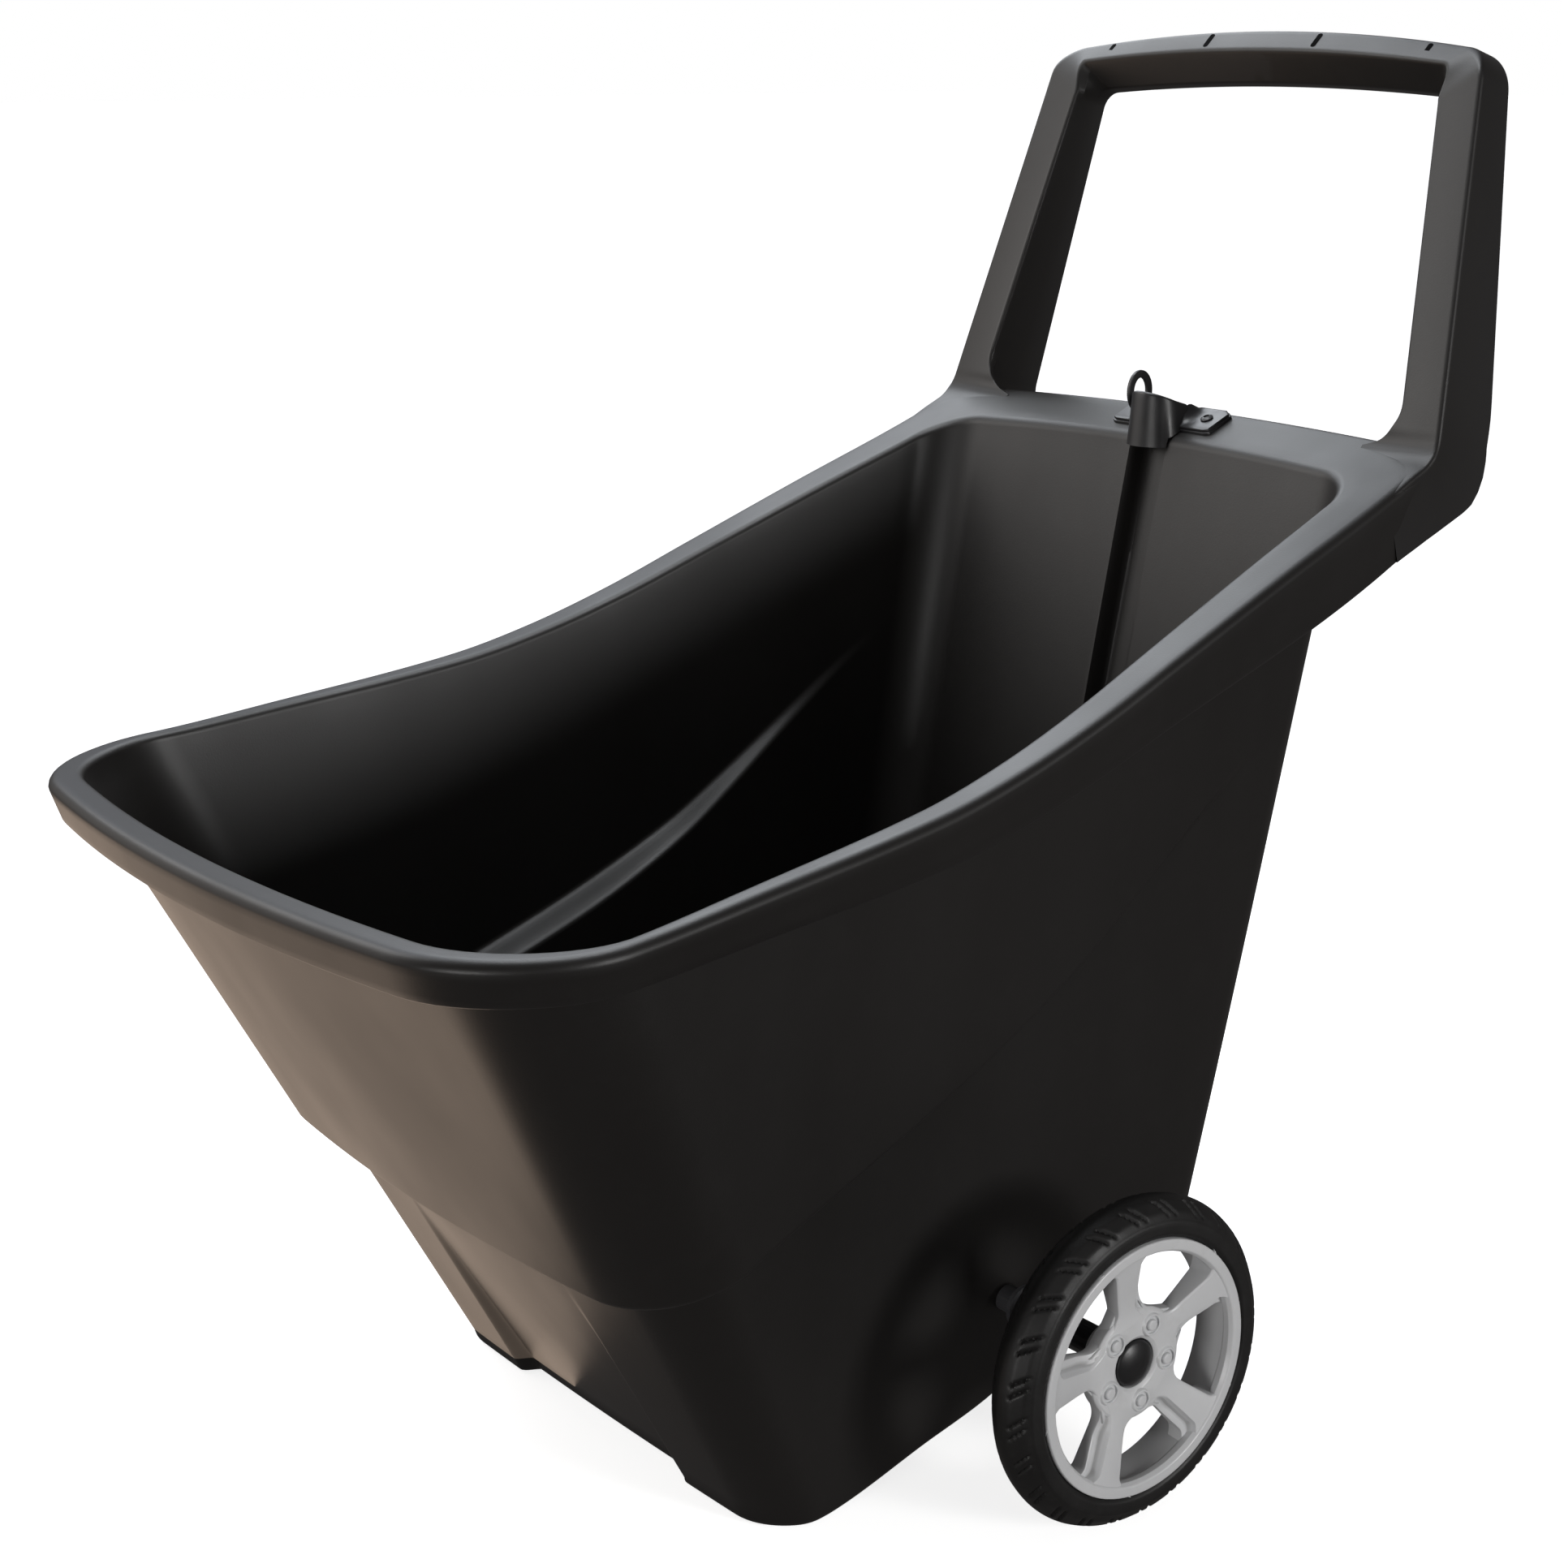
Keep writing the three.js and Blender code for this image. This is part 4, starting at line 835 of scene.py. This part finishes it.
def wing_shape(side, low, grow, spread):
    """Flat wing beside the hood. Its top sweeps up into the hood's flank over the spread.

    Grow widens it all round. The left wing is lower beside the hood, where the pull ring swings over it.
    """
    end = CLIP_HALF_WIDTH + grow
    rings = []
    for x in np.concatenate([np.linspace(15.5, 27, 14), np.linspace(28.5, end - 1, 10), [end - 0.3, end]]):
        edge = end - x
        cut = max(0.0, 5 - edge) * 0.8 + (0.6 if edge < 0.2 else 0)
        y0, y1 = CLIP_FRONT - grow + max(0.0, 3 - edge) * 0.5, CLIP_BACK + grow - cut
        sweep = 7.5 * (1 - min(1.0, (x - 15.5) / spread)) ** 2.4 if spread else 0.0
        dip = 1.0 * (1 - float(ramp(x, 25.2, 27.5))) if side < 0 and spread else 0.0
        height = (3.2 - dip if spread else low + 1.9) - (0.7 if edge < 0.2 else 0.0)
        section = [(y0, low), (y0, height - 0.9), (y0 + 0.3, height - 0.3), (y0 + 1.0, height)]
        section += [
            (mix(y0 + 1, y1 - 1, t), height + sweep * float(ramp(t, 0, 0.3) * (1 - ramp(t, 0.6, 1.0))))
            for t in (0.1, 0.2, 0.3, 0.45, 0.6, 0.7, 0.8, 0.9)]
        section += [(y1 - 1.0, height), (y1 - 0.3, height - 0.3), (y1, height - 0.9), (y1, low)]
        rings.append([(side * x, y, z) for y, z in section])
    points, faces = capped(rings)
    return on_rim(points), faces


def boss_shape():
    """Round peg with a head, on the hood's left flank, that the pull ring hangs on."""
    profile = rounded(
        [(RING_X - 3.6, 0.01), (RING_X - 3.6, 4), (RING_X - 2, 4), (RING_X - 2, RING_BOSS),
         (-HOOD_RADIUS + 1, RING_BOSS), (-HOOD_RADIUS + 1, 0.01)],
        [0, 0.6, 0.4, 0.3, 0, 0], 4)
    points, faces = lathe(profile, 32)
    return points + [0, CLIP_Y + RING_Y, CLIP_Z + RING_Z], faces


def screw_shape(side):
    """Low domed screw head with a round recess."""
    head = [(3.4, 0.01), (3.4, 3.9), (3.8, 4.2)]
    head += [(5.4 - 1.5 * (r / 4.2) ** 2, r) for r in np.linspace(4.1, 1.9, 7)]
    head += [(4.2, 1.7), (4.2, 0.01)]
    points, faces = lathe(head, 36)
    points = np.stack([points[:, 1], points[:, 2], points[:, 0]], -1) + [side * SCREW_X, SCREW_Y, 0]
    return on_rim(points), faces


def ring_shape():
    """Flattened band bent into an oval, narrow where it hangs on the boss."""
    bottom = -RING_BOSS - RING_WIRE - 0.3
    rings = []
    for angle in np.linspace(0, 2 * math.pi, 72, endpoint=False):
        y = RING_HALF_WIDTH * math.sin(angle)
        z = bottom + RING_HEIGHT / 2 * (1 - math.cos(angle))
        along = np.array([RING_HALF_WIDTH * math.cos(angle), RING_HEIGHT / 2 * math.sin(angle)])
        along /= np.linalg.norm(along)
        band = mix(RING_WIRE, 2.5, float(ramp(1 - math.cos(angle), 0.15, 0.9)))
        inset = band - RING_WIRE
        section = rounded([(-1.2, -band), (1.2, -band), (1.2, band), (-1.2, band)], 0.6, 3)
        ring = []
        for u, v in section:
            out = v - inset
            ring.append((RING_X + u, RING_Y + y + out * along[1], RING_Z + z - out * along[0]))
        rings.append(ring)
    points = np.array(rings)
    return points.reshape(-1, 3) + [0, CLIP_Y, CLIP_Z], grid_faces(len(rings), points.shape[1], True, True)


# ---- materials


class Recipe:
    """A node material built up from object-space noise."""

    def __init__(self, name, metallic=0.0, specular=0.5, coat=0.0, coat_roughness=0.2):
        self.material = bpy.data.materials.new(name)
        self.material.use_nodes = True
        self.tree = self.material.node_tree
        self.link = self.tree.links.new
        self.shader = self.tree.nodes["Principled BSDF"]
        self.shader.inputs["Metallic"].default_value = metallic
        self.shader.inputs["Specular IOR Level"].default_value = specular
        self.shader.inputs["Coat Weight"].default_value = coat
        self.shader.inputs["Coat Roughness"].default_value = coat_roughness
        self.place = self.node("TexCoord").outputs["Object"]
        self.normal = None

    def node(self, kind):
        return self.tree.nodes.new("ShaderNode" + kind)

    def noise(self, scale, detail=4, roughness=0.55, stretch=None):
        node = self.node("TexNoise")
        node.inputs["Scale"].default_value = scale
        node.inputs["Detail"].default_value = detail
        node.inputs["Roughness"].default_value = roughness
        source = self.place
        if stretch:
            mapping = self.node("Mapping")
            mapping.inputs["Scale"].default_value = stretch
            self.link(source, mapping.inputs["Vector"])
            source = mapping.outputs["Vector"]
        self.link(source, node.inputs["Vector"])
        return node.outputs["Fac"]

    def ramp(self, value, stops):
        node = self.node("ValToRGB")
        elements = node.color_ramp.elements
        while len(elements) < len(stops):
            elements.new(0.5)
        for element, (position, colour) in zip(elements, stops):
            element.position = position
            element.color = (*colour, 1)
        self.link(value, node.inputs["Fac"])
        return node.outputs["Color"]

    def span(self, value, low, high, out_low, out_high):
        node = self.node("MapRange")
        for key, number in (("From Min", low), ("From Max", high), ("To Min", out_low), ("To Max", out_high)):
            node.inputs[key].default_value = number
        self.link(value, node.inputs["Value"])
        return node.outputs["Result"]

    def lighten(self, colour, value, shade):
        node = self.node("Mix")
        node.data_type = "RGBA"
        node.blend_type = "MIX"
        self.link(value, node.inputs["Factor"])
        self.link(colour, node.inputs["A"])
        node.inputs["B"].default_value = (*shade, 1)
        return node.outputs["Result"]

    def colour(self, output):
        self.link(output, self.shader.inputs["Base Color"])

    def roughness(self, output):
        self.link(output, self.shader.inputs["Roughness"])

    def bump(self, value, strength, distance):
        node = self.node("Bump")
        node.inputs["Strength"].default_value = strength
        node.inputs["Distance"].default_value = distance
        self.link(value, node.inputs["Height"])
        if self.normal:
            self.link(self.normal, node.inputs["Normal"])
        self.normal = node.outputs["Normal"]
        self.link(self.normal, self.shader.inputs["Normal"])

    def edges(self, low, high):
        """Goes from 0 to 1 between two curvatures: wear on edges, or painted shade in hollows when reversed.
        """
        node = self.node("NewGeometry")
        return self.span(node.outputs["Pointiness"], low, high, 0, 1)


def tub_plastic():
    recipe = Recipe("tub_plastic", specular=0.5)
    cloud = recipe.noise(3.2, 5, 0.6)
    flow = recipe.noise(9, 3, 0.5, (1.0, 1.0, 0.3))
    base = recipe.ramp(cloud, [(0.3, (0.0052, 0.0044, 0.0040)), (0.7, (0.0078, 0.0068, 0.0062))])
    dust = recipe.span(recipe.noise(46, 6, 0.7), 0.5, 0.8, 0, 0.28)
    base = recipe.lighten(base, dust, (0.013, 0.012, 0.011))
    worn = recipe.span(recipe.edges(0.52, 0.6), 0, 1, 0, 0.3)
    base = recipe.lighten(base, worn, (0.03, 0.03, 0.032))
    recipe.colour(base)
    recipe.roughness(recipe.span(flow, 0.3, 0.7, 0.40, 0.50))
    recipe.bump(recipe.noise(28, 2, 0.5), 0.10, 0.0010)
    recipe.bump(recipe.noise(900, 3, 0.6), 0.22, 0.00025)
    return recipe.material


def plain_look(name, grain, shades, rough_grain, roughness, bump_grain, bump, wear=None, specular=0.5):
    """A small part's look: two shades over a fine grain, uneven gloss, and worn edges where wear is given."""
    recipe = Recipe(name, specular=specular)
    base = recipe.ramp(recipe.noise(grain, 4), [(0.3, shades[0]), (0.7, shades[1])])
    if wear:
        amount, shade = wear
        base = recipe.lighten(base, recipe.span(recipe.edges(0.53, 0.62), 0, 1, 0, amount), shade)
    recipe.colour(base)
    recipe.roughness(recipe.span(recipe.noise(rough_grain, 4), 0.3, 0.7, *roughness))
    recipe.bump(recipe.noise(bump_grain, 2), *bump)
    return recipe.material


def wheel_plastic():
    recipe = Recipe("wheel_plastic", specular=0.5, coat=0.15, coat_roughness=0.25)
    base = recipe.ramp(recipe.noise(14, 5, 0.6), [(0.25, (0.62, 0.63, 0.645)), (0.75, (0.70, 0.71, 0.72))])
    dirt = recipe.span(recipe.noise(55, 6, 0.7), 0.56, 0.82, 0, 0.35)
    base = recipe.lighten(base, dirt, (0.50, 0.50, 0.49))
    # Painted shade: concave creases of the wheel, round the spoke steps, are blended towards dark grey.
    recipe.colour(recipe.lighten(base, recipe.edges(0.49, 0.44), (0.30, 0.30, 0.30)))
    recipe.roughness(recipe.span(recipe.noise(80, 4), 0.3, 0.7, 0.30, 0.42))
    recipe.bump(recipe.noise(700, 3), 0.12, 0.0002)
    return recipe.material


def tyre_rubber():
    recipe = Recipe("tyre_rubber", specular=0.45)
    shades = [(0.3, (0.005, 0.0048, 0.0048)), (0.75, (0.009, 0.0086, 0.0086))]
    base = recipe.ramp(recipe.noise(24, 5, 0.6), shades)
    dust = recipe.span(recipe.noise(120, 6, 0.7), 0.52, 0.8, 0, 0.4)
    recipe.colour(recipe.lighten(base, dust, (0.02, 0.019, 0.018)))
    recipe.roughness(recipe.span(recipe.noise(50, 4), 0.3, 0.7, 0.42, 0.58))
    recipe.bump(recipe.noise(420, 4), 0.25, 0.0003)
    return recipe.material


def zinc_steel():
    recipe = Recipe("zinc_steel", metallic=1.0)
    base = recipe.ramp(recipe.noise(140, 5, 0.6), [(0.3, (0.50, 0.50, 0.49)), (0.7, (0.62, 0.62, 0.61))])
    recipe.colour(base)
    recipe.roughness(recipe.span(recipe.noise(260, 4, 0.6, (0.2, 1, 1)), 0.3, 0.7, 0.28, 0.46))
    recipe.bump(recipe.noise(900, 2), 0.10, 0.0001)
    return recipe.material


MATERIALS = {
    "tub_plastic": tub_plastic(),
    "wheel_plastic": wheel_plastic(),
    "tyre_rubber": tyre_rubber(),
    "zinc_steel": zinc_steel(),
    "black_plastic": plain_look(
        "black_plastic", 30, ((0.006, 0.006, 0.0066), (0.010, 0.010, 0.011)), 60, (0.30, 0.42),
        1100, (0.12, 0.0002), wear=(0.3, (0.03, 0.03, 0.033)), specular=0.55),
    # Near-black, barely glossy look for the grip slots: painted shade inside the slots.
    "slot_shadow": plain_look(
        "slot_shadow", 200, ((0.0008, 0.0008, 0.0009), (0.0020, 0.0020, 0.0022)), 90, (0.80, 0.95),
        800, (0.10, 0.0002), specular=0.04),
    "black_wire": plain_look(
        "black_wire", 90, ((0.012, 0.012, 0.013), (0.022, 0.022, 0.024)), 160, (0.32, 0.45),
        1400, (0.10, 0.0001), wear=(0.4, (0.06, 0.06, 0.063)), specular=0.6),
    "nylon": plain_look(
        "nylon", 70, ((0.035, 0.035, 0.038), (0.06, 0.06, 0.064)), 90, (0.42, 0.55), 800, (0.10, 0.0002)),
}

SLOT_OF_NODE = {row["node"]: row["material_slot"] for row in frame["record"]["subparts"]}
for node_name, node in frame["nodes"].items():
    node.data.materials.clear()
    node.data.materials.append(MATERIALS[SLOT_OF_NODE[node_name]])


def piece(name, shape, body, slot, *nodes, smooth_angle=40, look=None):
    """A finished piece on its body, standing in for the CAD nodes named."""
    made = make_object(name, *shape, body, MATERIALS[look or slot], slot, smooth_angle)
    if nodes:
        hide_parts(*nodes)
    return made


# ---- the cart

piece("tub_moulding", tub_moulding(), "tub", "tub_plastic", "tub_body")
piece("tub_floor", tub_floor(), "tub", "tub_plastic", smooth_angle=30)
piece("tub_underside", tub_underside(), "tub", "tub_plastic", smooth_angle=30)
piece("tub_handle", handle_moulding(), "tub", "tub_plastic", smooth_angle=50)
# The grip slots are dark plugs on the bevel, coloured with painted shade rather than cut in.
piece("grip_slots", grip_slots(), "tub", "black_plastic", look="slot_shadow")

tyre, wheel, cap = tyre_shape(), wheel_shape(), cap_shape()
for side in ("right", "left"):
    body = f"wheel_{side}"
    piece(f"tyre_moulding_{side}", placed_end(tyre, side), body, "tyre_rubber", f"tyre_{side}")
    piece(
        f"wheel_moulding_{side}", placed_end(wheel, side), body, "wheel_plastic", f"wheel_rim_{side}",
        smooth_angle=35)
    piece(f"cap_moulding_{side}", placed_end(cap, side), body, "black_plastic", f"hub_cap_{side}")

piece("clip_hood", hood_shape(), "tub", "black_plastic", "tool_clip")
piece("clip_boss", boss_shape(), "tub", "black_plastic")
for side, sign, spread in (("right", 1, 10.0), ("left", -1, 4.0)):
    piece(f"clip_wing_{side}", wing_shape(sign, 1.3, 0, spread), "tub", "black_plastic")
    piece(f"clip_pad_{side}", wing_shape(sign, -0.6, 0.8, 0), "tub", "black_plastic")
    piece(f"screw_head_{side}", screw_shape(sign), "tub", "black_wire", f"clip_screw_{side}")
piece("pull_ring_band", ring_shape(), "pull_ring", "black_wire", "clip_ring")

# ---- floor, light and camera


def floor():
    """White sweep that shows the contact shadows but throws no light up at the cart."""
    mesh = bpy.data.meshes.new("studio_floor")
    half = 40.0
    corners = [(-half, -half, 0), (half, -half, 0), (half, half, 0), (-half, half, 0)]
    mesh.from_pydata(corners, [], [(0, 1, 2, 3)])
    made = bpy.data.objects.new("studio_floor", mesh)
    made.location.z = -FLOOR_CLEARANCE
    bpy.context.scene.collection.objects.link(made)
    made.visible_diffuse = False
    made.visible_glossy = False
    recipe = Recipe("studio_floor", specular=0.0)
    shade = recipe.ramp(recipe.noise(1.5, 3), [(0.3, (0.93, 0.93, 0.93)), (0.7, (0.95, 0.95, 0.95))])
    recipe.colour(shade)
    recipe.roughness(recipe.span(recipe.noise(4, 3), 0.3, 0.7, 0.9, 0.95))
    recipe.shader.inputs["Emission Color"].default_value = (1, 1, 1, 1)
    recipe.shader.inputs["Emission Strength"].default_value = FLOOR_GLOW
    mesh.materials.append(recipe.material)


def world():
    """Dim room with a bright overhead patch and a bright horizon on the left, and a white background."""
    made = bpy.data.worlds.new("studio")
    bpy.context.scene.world = made
    made.use_nodes = True
    tree = made.node_tree
    link = tree.links.new
    light = tree.nodes["Background"]
    light.inputs["Strength"].default_value = 1.0
    place = tree.nodes.new("ShaderNodeTexCoord")
    shade = None
    for towards, start, end, colour in ROOM_PATCHES:
        aim = tree.nodes.new("ShaderNodeVectorMath")
        aim.operation = "DOT_PRODUCT"
        aim.inputs[1].default_value = Vector(towards).normalized()
        link(place.outputs["Generated"], aim.inputs[0])
        width = tree.nodes.new("ShaderNodeMapRange")
        width.interpolation_type = "SMOOTHSTEP"
        width.inputs["From Min"].default_value = start
        width.inputs["From Max"].default_value = end
        link(aim.outputs["Value"], width.inputs["Value"])
        blend = tree.nodes.new("ShaderNodeMix")
        blend.data_type = "RGBA"
        blend.clamp_factor = True
        link(width.outputs["Result"], blend.inputs["Factor"])
        if shade:
            link(shade, blend.inputs["A"])
        else:
            blend.inputs["A"].default_value = (*ROOM_SHADE, 1)
        blend.inputs["B"].default_value = (*colour, 1)
        shade = blend.outputs["Result"]
    link(shade, light.inputs["Color"])
    seen = tree.nodes.new("ShaderNodeBackground")
    seen.inputs["Color"].default_value = (1, 1, 1, 1)
    seen.inputs["Strength"].default_value = 1.0
    path = tree.nodes.new("ShaderNodeLightPath")
    either = tree.nodes.new("ShaderNodeMixShader")
    link(path.outputs["Is Camera Ray"], either.inputs["Fac"])
    link(light.outputs["Background"], either.inputs[1])
    link(seen.outputs["Background"], either.inputs[2])
    link(either.outputs["Shader"], tree.nodes["World Output"].inputs["Surface"])


def lamp(name, place, target, power, width, height, colour):
    """Soft rectangular lamp at a place, facing a target, in metres and watts."""
    data = bpy.data.lights.new(name, "AREA")
    data.shape = "RECTANGLE"
    data.size, data.size_y = width, height
    data.energy = power
    data.color = colour
    made = bpy.data.objects.new(name, data)
    made.location = place
    made.rotation_mode = "QUATERNION"
    made.rotation_quaternion = (Vector(target) - Vector(place)).to_track_quat("-Z", "Y")
    made.visible_camera = False
    bpy.context.scene.collection.objects.link(made)


FLOOR_GLOW, FLOOR_CLEARANCE = 0.80, 0.0015
ROOM_SHADE = (0.115, 0.108, 0.105)
# Bright patches of the room: direction, cosines where each begins and is full, and colour.
ROOM_PATCHES = (
    ((-0.74, -0.61, 0.28), 0.80, 0.975, (0.98, 0.93, 0.89)),
    ((-0.68, 0.18, 0.72), 0.80, 0.97, (1.15, 1.22, 1.34)),
)
floor()
world()
lamp("warm_ground", (-0.66, -0.50, 0.01), (-0.66, -0.50, 1.0), 5.2, 1.25, 1.1, (1.0, 0.77, 0.60))
lamp("rear_rim", (-0.72, 0.54, 1.22), (0.0, 0.27, 0.56), 4.6, 0.8, 0.6, (0.92, 0.96, 1.0))
lamp("grip", (-0.61, 0.29, 1.44), (0.0, 0.40, 0.93), 1.3, 0.5, 0.4, (0.95, 0.98, 1.0))
lamp("leg_front", (-0.55, -0.55, 1.02), (0.15, 0.33, 0.78), 3.6, 0.6, 0.6, (1.0, 0.98, 0.96))
lamp("inside", (-0.1, 0.05, 1.55), (-0.1, -0.05, 0.2), 7, 0.5, 0.5, (0.94, 0.97, 1.0))
lamp("wheel_side", (2.9, 0.6, 0.8), (0.28, 0.0, 0.1), 36, 0.6, 0.6, (1.0, 0.995, 0.99))
lamp("wheel_fill", (1.1, -2.4, 0.35), (0.28, 0.0, 0.1), 15, 0.8, 0.6, (1.0, 0.99, 0.98))

AZIMUTH, ELEVATION = math.radians(52.08), math.radians(15.14)
LENS, SENSOR_WIDTH = 62.37, 36
back = Vector((
    math.sin(AZIMUTH) * math.cos(ELEVATION), -math.cos(AZIMUTH) * math.cos(ELEVATION), math.sin(ELEVATION)))
camera_data = bpy.data.cameras.new("camera")
camera_data.lens = LENS
camera_data.sensor_width = SENSOR_WIDTH
camera_data.clip_end = 100
camera = bpy.data.objects.new("camera", camera_data)
camera.location = (1.234, AXLE_Y / 1000 - 0.997, 0.801)
camera.rotation_mode = "QUATERNION"
camera.rotation_quaternion = (-back).to_track_quat("-Z", "Y")
bpy.context.scene.collection.objects.link(camera)
bpy.context.scene.camera = camera
bpy.context.scene.view_settings.view_transform = "Standard"
